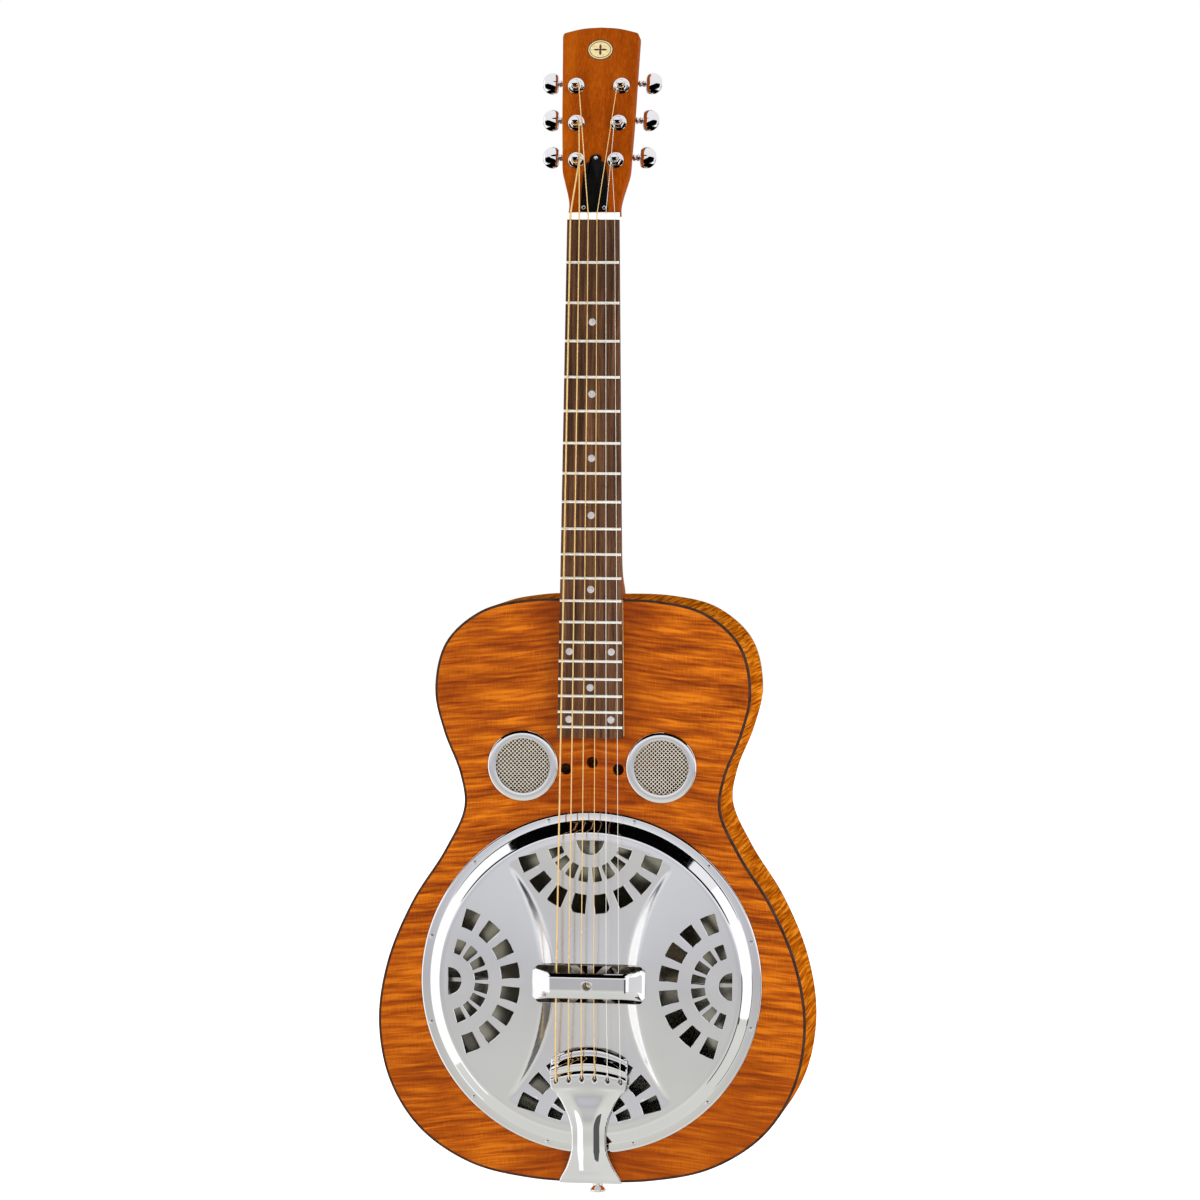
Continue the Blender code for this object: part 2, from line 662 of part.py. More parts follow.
def build_strap_button(chrome):
    plate_z = TAIL_Z - GAP - TAIL_SHEET
    profile = ((0.0, 0.0), (5.6, 0.0), (6.6, 1.0), (6.5, 2.4), (4.0, 5.2), (4.0, 8.4), (5.2, 12.0),
               (5.6, plate_z - GAP), (BUTTON_SHANK_R, plate_z - GAP), (BUTTON_SHANK_R, 33.0), (1.5, 37.0),
               (0.0, 37.0))
    thing("strap_button", turned(profile, 12, across_z), chrome)


# ---------------------------------------------------------------- neck


def board_h(z):
    return BOARD_END_H - NECK_SLOPE * (z - BOARD_END_Z)


def board_half(z):
    share = (NUT_Z - z) / (NUT_Z - BOARD_END_Z)
    return BOARD_HALF_NUT + (BOARD_HALF_END - BOARD_HALF_NUT) * share


def neck_h(z):
    """The neck's flat front, under the fretboard."""
    return board_h(z) - BOARD_THICK - GAP


def build_fretboard(rosewood, maple):
    profile = [(BOARD_END_Z, board_h(BOARD_END_Z))]
    for n in range(FRETS, 0, -1):
        z = NUT_Z - SCALE * (1.0 - 2.0 ** (-n / 12.0))
        for side, tall in ((-1, 0.0), (-1, FRET_TALL), (1, FRET_TALL), (1, 0.0)):
            at = z + side * FRET_HALF
            profile.append((at, board_h(at) + tall))
    profile.append((NUT_Z, board_h(NUT_Z)))
    profile.append((NUT_Z, board_h(NUT_Z) - BOARD_THICK))
    profile.append((BOARD_END_Z, board_h(BOARD_END_Z) - BOARD_THICK))
    faces = [[(side * board_half(z), front(h), z) for z, h in profile] for side in (-1, 1)]
    thing("fretboard", skin(faces), rosewood)
    low, high = BOARD_END_Z + 1.0, HEEL_Z - GAP
    rings = []
    for z in (low, high):
        half = board_half(z) - 0.4
        rings.append([(-half, front(GAP), z), (half, front(GAP), z),
                      (half, front(neck_h(z)), z), (-half, front(neck_h(z)), z)])
    thing("fretboard_shim", skin(rings), maple)


def neck_section(z, top_h, half, deep, heel):
    """A section that is flat in front: a D in the shaft, squarer and drawn in at the heel."""
    ring = []
    for k in range(13):
        t = pi * k / 12.0
        across = copysign(abs(cos(t)) ** (1.0 - 1.3 * heel), cos(t))
        x = half * across * (1.0 - 0.35 * heel * sin(t))
        ring.append((x, front(top_h) + deep * sin(t) ** 0.9, z))
    return ring


def build_neck(mahogany, steel, black, head):
    rings = []
    for up, deep, heel in NECK_STATIONS:
        z = HEEL_Z + GAP + up
        rings.append(neck_section(z, neck_h(z), board_half(z), deep, heel))
    inside_h = HEAD_FACE_H - 10.0 * tan(HEAD_TILT) - 1.0
    rings.append(neck_section(HEAD_Z + 10.0, inside_h, 19.0, 13.2, 0.0))
    neck = thing("neck", skin(rings), mahogany)
    outline = list(HEAD_HALF) + [(0.0, HEAD_TOP)] + [(-x, s) for x, s in reversed(HEAD_HALF)]
    slab = skin([across_y(outline, 0.0), across_y(outline, HEAD_THICK)])
    join(neck, "headstock_slab", slab, head)
    join(neck, "neck_tenon", tenon(0.0, HEEL_Z + 6.0))
    channel = [(-3.3, -3.3), (3.3, -3.3), (3.3, ROD_DEEP + 2.0), (-3.3, ROD_DEEP + 2.0)]
    rings = []
    for z in (ROD_Z[0] - 3.0, HEAD_Z - 1.0):
        rings.append([(x, front(neck_h(z) - ROD_DEEP + up), z) for x, up in channel])
    cut(neck, "rod_channel", skin(rings))
    axis_h = neck_h(HEAD_Z) - ROD_DEEP
    pocket = box((-5.4, 5.4), (front(8.0), front(axis_h - 4.0)), (HEAD_Z - 3.0, HEAD_Z + 26.0))
    cut(neck, "rod_pocket", pocket)
    bores = [rod(4.4, 12, (-4.0, HEAD_THICK + 4.0), side * x, s)
             for x, s in zip(POST_X, POST_S) for side in (-1, 1)]
    cut(neck, "bushing_bores", several(bores), head)
    rings = []
    for z, r in ((ROD_Z[0], ROD_R), (ROD_Z[1], ROD_R), (ROD_Z[1] + 0.01, 1.9), (HEAD_Z + 15.0, 1.9)):
        rings.append(across_z(circle(r, 10), z, 0.0, front(neck_h(z) - ROD_DEEP)))
    thing("truss_rod", skin(rings), steel)
    middle = (0.0, front(axis_h), ROD_NUT_Z[0])
    long = ROD_NUT_Z[1] - ROD_NUT_Z[0]
    walls = [across_z(circle(r, 12), z) for r, z in ((2.4, 0.0), (2.4, long))]
    hexagon = [across_z(hex_ring(3.0), z) for z in (long, 0.0)]
    thing("truss_rod_nut", skin(walls + hexagon, True), steel, None, middle)
    outline = list(COVER_HALF) + [(-x, s) for x, s in reversed(COVER_HALF)]
    thing("truss_rod_cover", skin([across_y(outline, -GAP), across_y(outline, -GAP - COVER_THICK)]),
          black, head)


def hex_ring(across):
    """Twelve points round a hexagon whose flats stand at this distance: its corners and mid-flats."""
    ring = []
    for k in range(12):
        r = across / cos(pi / 6.0) if k % 2 == 0 else across
        ring.append((r * cos(pi * k / 6.0), r * sin(pi * k / 6.0)))
    return ring


def build_nut(bone):
    top = NUT_STRING_H - max(STRING_RADII) - GAP
    thing("nut", box((-BOARD_HALF_NUT, BOARD_HALF_NUT), (front(top), front(neck_h(NUT_Z) + GAP)),
                     (NUT_Z + GAP, HEAD_Z)), bone)


# ---------------------------------------------------------------- strings


def head_point(x, out, s):
    """World place of a point in the headstock's frame."""
    y = front(HEAD_FACE_H) - out * cos(HEAD_TILT) + s * sin(HEAD_TILT)
    return (x, y, HEAD_Z + out * sin(HEAD_TILT) + s * cos(HEAD_TILT))


def wire(path):
    """A round wire through (point, radius) stations; no stretch of it runs along X."""
    rings = []
    for k, (point, radius) in enumerate(path):
        before = path[max(k - 1, 0)][0]
        after = path[min(k + 1, len(path) - 1)][0]
        run = [b - a for a, b in zip(before, after)]
        size = sqrt(sum(c * c for c in run))
        t = [c / size for c in run]
        flat = sqrt(1.0 - t[0] * t[0])
        side = (flat, -t[0] * t[1] / flat, -t[0] * t[2] / flat)
        up = (0.0, -t[2] / flat, t[1] / flat)
        rings.append([tuple(p + a * u + b * v for p, u, v in zip(point, side, up))
                      for a, b in circle(radius, STRING_SIDES)])
    return skin(rings)


def build_strings(bronze, steel):
    nut_x = string_places(NUT_PITCH)
    saddle_x = string_places(SADDLE_PITCH)
    tail_x = string_places(TAIL_PITCH)
    for k in range(6):
        radius = STRING_RADII[k]
        side = 1 if k < 3 else -1
        row = k if k < 3 else 5 - k
        slot = tail_slot_z(tail_x[k])
        post = POST_X[row] - POST_WAIST_R - radius - GAP
        path = [
            ((tail_x[k], front(9.4), slot - 0.2), 1.9), ((tail_x[k], front(12.6), slot - 0.2), 1.9),
            ((tail_x[k], front(12.7), slot - 0.2), radius), ((tail_x[k], front(15.4), slot), radius),
            ((tail_x[k], front(17.1), slot + 2.0), 1.5 * radius),
            ((tail_x[k], front(18.7), slot + 27.0), 1.5 * radius),
            ((tail_x[k], front(18.8), slot + 28.5), radius),
            ((saddle_x[k], front(SADDLE_STRING_H), PLATE_Z), radius),
            ((nut_x[k], front(NUT_STRING_H), NUT_Z + 1.0), radius),
            ((nut_x[k], front(NUT_STRING_H - 0.1), NUT_Z + 5.8), radius),
            (head_point(side * post, STRING_OUT[row], POST_S[row]), radius),
        ]
        thing(f"string_{k + 1}", wire(path), steel if k < 2 else bronze)


# ---------------------------------------------------------------- tuners


def wheel_shape():
    """The worm wheel, with a gap between teeth facing the worm."""
    ring = []
    step = 2.0 * pi / WHEEL_TEETH
    for k in range(WHEEL_TEETH):
        middle = pi / 2.0 + step * (k + 0.5)
        for share, r in ((-0.5, WHEEL_ROOT_R), (-0.12, WHEEL_TIP_R), (0.12, WHEEL_TIP_R)):
            ring.append((r * cos(middle + share * step), r * sin(middle + share * step)))
    return skin([across_y(ring, WORM_DEEP - WHEEL_HALF), across_y(ring, WORM_DEEP + WHEEL_HALF)])


def worm_ring(x):
    """A ring round the worm at x, its radius rising where the thread passes."""
    ring = []
    for k in range(WORM_SIDES):
        turn = 2.0 * pi * k / WORM_SIDES
        phase = x / WORM_PITCH - (turn + pi / 2.0) / (2.0 * pi)
        away = abs(phase - round(phase))
        rise = max(0.0, 1.0 - away / 0.36)
        r = WORM_ROOT_R + (WORM_TIP_R - WORM_ROOT_R) * min(1.0, 1.35 * rise)
        ring.append((r * cos(turn), r * sin(turn)))
    return across_x(ring, x)


def build_tuners(chrome, brass, head):
    for side, bank in ((-1, "bass"), (1, "treble")):
        for row in range(3):
            name = f"{bank}_{row + 1}"
            x = side * POST_X[row]
            s = POST_S[row]
            build_post("tuner_post_" + name, brass, head, (x, 0.0, s))
            build_button("tuner_button_" + name, chrome, head, side, (x, WORM_DEEP, s + WORM_OFFSET))
            build_housing("tuner_housing_" + name, chrome, head, side, (x, 0.0, s))
            build_bushing("tuner_bushing_" + name, chrome, head, (x, 0.0, s))


def build_post(name, finish, head, place):
    profile = ((0.0, -POST_TOP), (2.2, -POST_TOP), (POST_R, -9.8), (POST_R, -8.8), (POST_WAIST_R, -8.2),
               (POST_WAIST_R, -4.4), (POST_R, -3.9), (POST_R, WORM_DEEP + 2.4), (0.0, WORM_DEEP + 2.4))
    post = thing(name, turned(profile, 12, across_y), finish, head, place)
    join(post, name + "_wheel", wheel_shape(), head, place)


def build_button(name, finish, head, side, place):
    rows = 4 * WORM_TURNS
    half = WORM_PITCH * WORM_TURNS / 2.0
    stations = [across_x(circle(1.5, WORM_SIDES), -side * (half + 1.2))]
    for k in range(rows + 1):
        stations.append(worm_ring(side * (WORM_PITCH * k / 4.0 - half)))
    for out, thick, tall in BUTTON_STATIONS:
        ring = [(thick * a, tall * b) for a, b in circle(1.0, WORM_SIDES)]
        stations.append(across_x(ring, side * out))
    thing(name, skin(stations), finish, head, place)


def build_housing(name, finish, head, side, place):
    def outline(inset, chamfer):
        x = HOUSING_HALF - inset
        low, high = HOUSING_S[0] + inset, HOUSING_S[1] - inset
        return [(-x, low + chamfer), (-x + chamfer, low), (x - chamfer, low), (x, low + chamfer),
                (x, high - chamfer), (x - chamfer, high), (-x + chamfer, high), (-x, high - chamfer)]

    shell = skin([across_y(outline(0.0, 3.0), HEAD_THICK + GAP), across_y(outline(0.0, 3.0), 23.0),
                  across_y(outline(1.8, 3.0), HOUSING_BACK)])
    housing = thing(name, shell, finish, head, place)
    room = skin([across_y(outline(1.2, 2.4), 16.6), across_y(outline(1.2, 2.4), 23.9)])
    cut(housing, name + "_room", room, head, place)
    cut(housing, name + "_post_hole", rod(POST_R + 0.4, 12, (HEAD_THICK - 1.0, 18.0)), head, place)
    ring = circle(2.2, 10)
    bore = skin([across_x(ring, side * 5.0, WORM_DEEP, WORM_OFFSET),
                 across_x(ring, side * 10.0, WORM_DEEP, WORM_OFFSET)])
    cut(housing, name + "_shaft_hole", bore, head, place)


def build_bushing(name, finish, head, place):
    bore = POST_R + 0.35
    stations = [
        across_y(circle(4.05, 12), 9.0), across_y(circle(4.05, 12), -GAP), across_y(circle(7.0, 12), -GAP),
        across_y(circle(6.7, 12), -1.4), across_y(hex_ring(4.8), -1.4), across_y(hex_ring(4.8), -3.4),
        across_y(circle(4.3, 12), -3.9), across_y(circle(bore, 12), -3.9), across_y(circle(bore, 12), 9.0),
    ]
    thing(name, skin(stations, True), finish, head, place)


# ---------------------------------------------------------------- assembly


def build():
    for old in list(bpy.data.objects):
        bpy.data.objects.remove(old)
    maple = material("flamed maple", (0.50, 0.20, 0.04), 0.22)
    mahogany = material("mahogany", (0.48, 0.16, 0.03), 0.25)
    rosewood = material("rosewood", (0.10, 0.05, 0.03), 0.5)
    spruce = material("spruce", (0.62, 0.45, 0.26), 0.6)
    poplar = material("poplar plywood", (0.55, 0.42, 0.28), 0.6)
    binding = material("dark binding", (0.03, 0.015, 0.01), 0.35)
    bone = material("bone", (0.85, 0.83, 0.76), 0.35)
    black = material("black plastic", (0.01, 0.01, 0.01), 0.2)
    chrome = material("chrome", (0.75, 0.76, 0.80), 0.08, 1.0)
    screen = material("nickel wire", (0.55, 0.53, 0.48), 0.35, 1.0)
    aluminium = material("spun aluminium", (0.72, 0.72, 0.72), 0.35, 1.0)
    steel = material("plain steel", (0.55, 0.55, 0.56), 0.3, 1.0)
    bronze = material("phosphor bronze", (0.72, 0.38, 0.16), 0.3, 1.0)

    head = bpy.data.objects.new("headstock_frame", None)
    bpy.context.scene.collection.objects.link(head)
    head.location = (0.0, front(HEAD_FACE_H) * MM, HEAD_Z * MM)
    head.rotation_euler = (-HEAD_TILT, 0.0, 0.0)

    build_plates(maple, binding)
    build_inside(spruce, poplar)
    build_coverplate(chrome)
    build_palm_rest(chrome)
    build_cone(aluminium)
    build_spider(aluminium, maple, steel)
    build_screens(chrome, screen)
    build_tailpiece(chrome)
    build_strap_button(chrome)
    build_fretboard(rosewood, mahogany)
    build_neck(mahogany, steel, black, head)
    build_nut(bone)
    build_strings(bronze, steel)
    build_tuners(chrome, steel, head)


build()
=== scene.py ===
"""Looks of the resonator guitar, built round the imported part.

Figures are in millimetres unless a name says otherwise, in the part's own frame: +Z up the neck,
the front facing -Y, +X the treble side. A height h is measured forwards from the top's face.
"""

import json
from math import asin, atan2, copysign, cos, hypot, pi, radians, sin, sqrt

import bmesh
import bpy
import numpy as np
from mathutils import Matrix, Vector
from mathutils.geometry import delaunay_2d_cdt


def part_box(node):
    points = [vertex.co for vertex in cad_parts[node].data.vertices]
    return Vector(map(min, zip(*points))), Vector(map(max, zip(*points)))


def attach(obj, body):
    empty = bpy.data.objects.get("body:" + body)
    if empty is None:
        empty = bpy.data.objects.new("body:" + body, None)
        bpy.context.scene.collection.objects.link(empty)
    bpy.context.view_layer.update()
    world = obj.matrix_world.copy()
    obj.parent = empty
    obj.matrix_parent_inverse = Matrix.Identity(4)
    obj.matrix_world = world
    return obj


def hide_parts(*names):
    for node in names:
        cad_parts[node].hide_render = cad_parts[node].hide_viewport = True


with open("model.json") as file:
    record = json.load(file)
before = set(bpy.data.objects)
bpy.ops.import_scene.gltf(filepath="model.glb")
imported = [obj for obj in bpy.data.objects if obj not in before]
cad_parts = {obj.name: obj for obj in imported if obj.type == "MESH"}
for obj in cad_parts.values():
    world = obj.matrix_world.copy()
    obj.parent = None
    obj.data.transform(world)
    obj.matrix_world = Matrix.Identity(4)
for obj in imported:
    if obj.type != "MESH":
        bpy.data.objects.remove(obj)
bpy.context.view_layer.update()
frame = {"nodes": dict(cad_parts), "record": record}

MM = 0.001
ROOT = "guitar"
GAP = 0.3
SHARP_ANGLE = 35.0


# ---------------------------------------------------------------- places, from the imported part


def limits(node):
    low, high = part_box(node)
    return [c / MM for c in low], [c / MM for c in high]


TOP_Y = limits("top_plate")[0][1]
BACK_Y = limits("back_plate")[1][1]
TAIL_Z = limits("sides")[0][2]
PLATE_LOW, PLATE_HIGH = limits("coverplate")
PLATE_Z = (PLATE_LOW[2] + PLATE_HIGH[2]) / 2.0
BOARD_LOW, BOARD_HIGH = limits("fretboard")
NUT_Z = BOARD_HIGH[2]
BOARD_END_Z = BOARD_LOW[2]
HEEL_Z = limits("sides")[1][2]
NUT_THICK = 6.0
HEAD_Z = NUT_Z + NUT_THICK
HEAD_FACE_H = 2.4
HEAD_TILT = radians(14.0)


def front(h):
    return TOP_Y - h


def head_place(point):
    """From the headstock's frame (across, backwards, up the face) to the part's frame."""
    x, deep, s = point
    y = front(HEAD_FACE_H) + deep * cos(HEAD_TILT) + s * sin(HEAD_TILT)
    return (x, y, HEAD_Z - deep * sin(HEAD_TILT) + s * cos(HEAD_TILT))


# ---------------------------------------------------------------- shapes


def circle(radius, steps, turn=0.0, squash=1.0):
    angles = [turn + 2.0 * pi * k / steps for k in range(steps)]
    return [(radius * cos(t), squash * radius * sin(t)) for t in angles]


def shifted(pairs, x, z):
    return [(x + a, z + b) for a, b in pairs]


def across_y(pairs, y, x=0.0, z=0.0):
    return [(x + a, y, z + b) for a, b in pairs]


def across_z(pairs, z):
    return [(a, b, z) for a, b in pairs]


def across_x(pairs, x, y=0.0, z=0.0):
    return [(x, y + a, z + b) for a, b in pairs]


def skin(sections, looped=False):
    """Points and faces over equal rings, capped at both ends or looped into a tube."""
    count = len(sections[0])
    points = [p for section in sections for p in section]
    rows = len(sections)
    faces = []
    for row in range(rows if looped else rows - 1):
        near = row * count
        far = (row + 1) % rows * count
        for k in range(count):
            after = (k + 1) % count
            faces.append((near + k, near + after, far + after, far + k))
    if not looped:
        faces.append(tuple(range(count)))
        faces.append(tuple(range((rows - 1) * count, rows * count)))
    return points, faces


def several(shapes):
    points = []
    faces = []
    for more_points, more_faces in shapes:
        start = len(points)
        points += more_points
        faces += [tuple(start + k for k in face) for face in more_faces]
    return points, faces


def turned(profile, steps, place=across_y, looped=False):
    """A profile of (radius, distance) turned about an axis."""
    return skin([place(circle(max(r, 1e-6), steps), d) for r, d in profile], looped)


def moved(shape, change):
    return [change(p) for p in shape[0]], shape[1]


def smooth_run(points, steps):
    """A Catmull-Rom run through points of any size, its ends included."""
    ends = [tuple(2.0 * a - b for a, b in zip(points[0], points[1]))]
    tail = [tuple(2.0 * a - b for a, b in zip(points[-1], points[-2]))]
    chain = ends + [tuple(p) for p in points] + tail
    run = []
    for k in range(1, len(chain) - 2):
        knots = [0.0]
        for near, far in zip(chain[k - 1:k + 2], chain[k:k + 3]):
            gap = sqrt(sum((b - a) ** 2 for a, b in zip(near, far)))
            knots.append(knots[-1] + max(sqrt(gap), 1e-6))
        for step in range(steps):
            t = knots[1] + (knots[2] - knots[1]) * step / steps
            p0, p1, p2, p3 = chain[k - 1:k + 3]

            def between(a, b, low, high):
                share = (t - low) / (high - low)
                return tuple((1.0 - share) * u + share * v for u, v in zip(a, b))

            a1 = between(p0, p1, knots[0], knots[1])
            a2 = between(p1, p2, knots[1], knots[2])
            a3 = between(p2, p3, knots[2], knots[3])
            b1 = between(a1, a2, knots[0], knots[2])
            b2 = between(a2, a3, knots[1], knots[3])
            run.append(between(b1, b2, knots[1], knots[2]))
    run.append(tuple(points[-1]))
    return run


def tube(path, radii, sides):
    """A round wire along a path of points, with a radius at each."""
    points = [Vector(p) for p in path]
    rings = []
    side = None
    for k, point in enumerate(points):
        ahead = points[min(k + 1, len(points) - 1)] - points[max(k - 1, 0)]
        ahead.normalize()
        if side is None:
            side = ahead.orthogonal().normalized()
        side = (side - ahead * side.dot(ahead)).normalized()
        up = ahead.cross(side)
        rings.append([tuple(point + side * a + up * b) for a, b in circle(radii[k], sides)])
    return skin(rings)


def eased_step(t, soft=0.2):
    """From 0 to 1 at an even slope, with its two corners rounded over the share soft."""
    t = min(1.0, max(0.0, t))
    if t > 0.5:
        return 1.0 - eased_step(1.0 - t, soft)
    return t * t / (2.0 * soft * (1.0 - soft)) if t < soft else (t - soft / 2.0) / (1.0 - soft)


def grown(loop, distance):
    """A closed loop of (a, b) pushed outwards, or inwards by a negative distance."""
    count = len(loop)
    area = sum(loop[k - 1][0] * loop[k][1] - loop[k][0] * loop[k - 1][1] for k in range(count))
    turn = 1.0 if area > 0.0 else -1.0
    result = []
    for k, (a, b) in enumerate(loop):
        near = loop[k - 1]
        far = loop[(k + 1) % count]
        along = (far[0] - near[0], far[1] - near[1])
        size = hypot(*along) or 1.0
        result.append((a + turn * distance * along[1] / size, b - turn * distance * along[0] / size))
    return result


def round_corners(corners, radius, steps=4):
    """A polygon with each corner rounded; radius is one number or one a corner."""
    radii = radius if isinstance(radius, (list, tuple)) else [radius] * len(corners)
    loop = []
    for k, corner in enumerate(corners):
        here = Vector(corner)
        back = (Vector(corners[k - 1]) - here).normalized() * radii[k]
        ahead = (Vector(corners[(k + 1) % len(corners)]) - here).normalized() * radii[k]
        for j in range(steps + 1):
            t = j / steps
            p = here + back * (1.0 - t) ** 2 + ahead * t ** 2
            loop.append((p.x, p.y))
    return loop


def within(points, loops):
    """Which of the points lie inside the first loop and outside the others."""
    keep = inside(points, loops[0])
    for loop in loops[1:]:
        keep &= ~inside(points, loop)
    return keep


def inside(points, loop):
    """Which of the points lie inside a loop."""
    x, z = points[:, 0], points[:, 1]
    ring = np.array(loop)
    after = np.roll(ring, -1, axis=0)
    found = np.zeros(len(points), bool)
    low, high = ring.min(axis=0), ring.max(axis=0)
    near = (x >= low[0]) & (x <= high[0]) & (z >= low[1]) & (z <= high[1])
    for (ax, az), (bx, bz) in zip(ring, after):
        if az == bz:
            continue
        hit = near & ((az > z) != (bz > z)) & (x < (bx - ax) * (z - az) / (bz - az) + ax)
        found ^= hit
    return found


def sheet(loops, grid, upper, lower, lip, lip_wide):
    """A sheet cut to the first loop and holed by the others, mapped to its two sides.

    upper and lower take (a, b) to a point in space. The upper edge is eased back by lip.
    """
    flat = []
    edges = []
    drawn_in = [grown(loop, lip_wide if k else -lip_wide) for k, loop in enumerate(loops)]
    for loop in [*loops, *drawn_in]:
        starts = len(flat)
        flat += loop
        edges += [(starts + j, starts + (j + 1) % len(loop)) for j in range(len(loop))]
    rim_count = sum(len(loop) for loop in loops)
    if len(grid):
        spots = np.array(grid, float)
        spots = spots[within(spots, loops)]
        rims = np.array(flat)
        clear = np.array([((rims - spot) ** 2).sum(axis=1).min() > 0.8 for spot in spots])
        flat += [tuple(p) for p in spots[clear]]
    found = delaunay_2d_cdt([Vector(p) for p in flat], edges, [], 0, 1e-5)
    places, triangles, origins = found[0], found[2], found[3]
    places = [(p[0], p[1]) for p in places]
    middles = np.array([np.mean([places[k] for k in tri], axis=0) for tri in triangles])
    kept = [tuple(tri) for tri, good in zip(triangles, within(middles, loops)) if good]
    on_rim = [any(k < rim_count for k in came) for came in origins]
    points = []
    for place, edge in zip(places, on_rim):
        top, under = Vector(upper(*place)), Vector(lower(*place))
        if edge:
            top = top + (under - top).normalized() * lip
        points.append(tuple(top))
    points += [tuple(lower(*place)) for place in places]
    count = len(places)
    faces = kept + [tuple(count + k for k in reversed(tri)) for tri in kept]
    directed = {(tri[k], tri[(k + 1) % 3]) for tri in kept for k in range(3)}
    for a, b in directed:
        if (b, a) not in directed:
            faces.append((b, a, count + a, count + b))
    used = sorted({k for face in faces for k in face})
    fresh = {k: j for j, k in enumerate(used)}
    return [points[k] for k in used], [tuple(fresh[k] for k in face) for face in faces]


# ---------------------------------------------------------------- pieces


def piece(name, shape, finish, slot, body=ROOT, stands_for=(), sharp=SHARP_ANGLE, weld=1e-3):
    """An object of the part from points and faces in millimetres."""
    mesh = bpy.data.meshes.new(name)
    mesh.from_pydata([tuple(c * MM for c in p) for p in shape[0]], [], shape[1])
    work = bmesh.new()
    work.from_mesh(mesh)
    bmesh.ops.remove_doubles(work, verts=work.verts, dist=weld * MM)
    bmesh.ops.recalc_face_normals(work, faces=work.faces)
    work.to_mesh(mesh)
    work.free()
    return placed(name, mesh, finish, slot, body, stands_for, sharp)


def placed(name, mesh, finish, slot, body, stands_for, sharp):
    mesh.shade_smooth()
    mesh.set_sharp_from_angle(angle=radians(sharp))
    mesh.materials.clear()
    mesh.materials.append(finish)
    made = bpy.data.objects.new(name, mesh)
    bpy.context.scene.collection.objects.link(made)
    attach(made, body)
    if stands_for:
        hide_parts(*stands_for)
    return made


def eased(made, width):
    """Rounds a piece's edges."""
    bevel = made.modifiers.new("eased edges", "BEVEL")
    bevel.width = width * MM
    bevel.segments = 2
    bevel.limit_method = "ANGLE"
    bevel.angle_limit = radians(30.0)
    bevel.use_clamp_overlap = True
    bevel.harden_normals = False
    shade = made.modifiers.new("even shading", "WEIGHTED_NORMAL")
    shade.keep_sharp = True


def reshaped(node, finish, slot, bevel, body=ROOT):
    """A CAD node's shape with its seams closed, its flats made whole and its edges eased."""
    work = bmesh.new()
    work.from_mesh(frame["nodes"][node].data)
    bmesh.ops.remove_doubles(work, verts=work.verts, dist=2e-3 * MM)
    bmesh.ops.dissolve_limit(work, angle_limit=radians(1.0), verts=work.verts, edges=work.edges)
    bmesh.ops.recalc_face_normals(work, faces=work.faces)
    mesh = bpy.data.meshes.new(node + "_shaped")
    work.to_mesh(mesh)
    work.free()
    eased(placed(node + "_shaped", mesh, finish, slot, body, (node,), SHARP_ANGLE), bevel)


def repaint(node, finish):
    slots = frame["nodes"][node].data.materials
    slots.clear()
    slots.append(finish)


def combined_with(first, second, operation):
    """Applies a Boolean to first and removes second."""
    modifier = first.modifiers.new("combined", "BOOLEAN")
    modifier.operation = operation
    modifier.solver = "EXACT"
    modifier.object = second
    graph = bpy.context.evaluated_depsgraph_get()
    result = bpy.data.meshes.new_from_object(first.evaluated_get(graph))
    first.modifiers.clear()
    first.data = result
    bpy.data.objects.remove(second)
    result.shade_smooth()
    result.set_sharp_from_angle(angle=radians(40.0))


def carved(first, shapes):
    """Cuts closed shapes out of a piece."""
    cutter = piece("cutter", several(shapes), BLACK, "black_plastic")
    combined_with(first, cutter, "DIFFERENCE")


# ---------------------------------------------------------------- materials


def fill_ramp(bar, stops):
    """Sets a colour ramp's stops, each a place with its colour."""
    while len(bar.elements) < len(stops):
        bar.elements.new(1.0)
    for element, (place, colour) in zip(bar.elements, stops):
        element.position = place
        element.color = (*colour, 1.0)


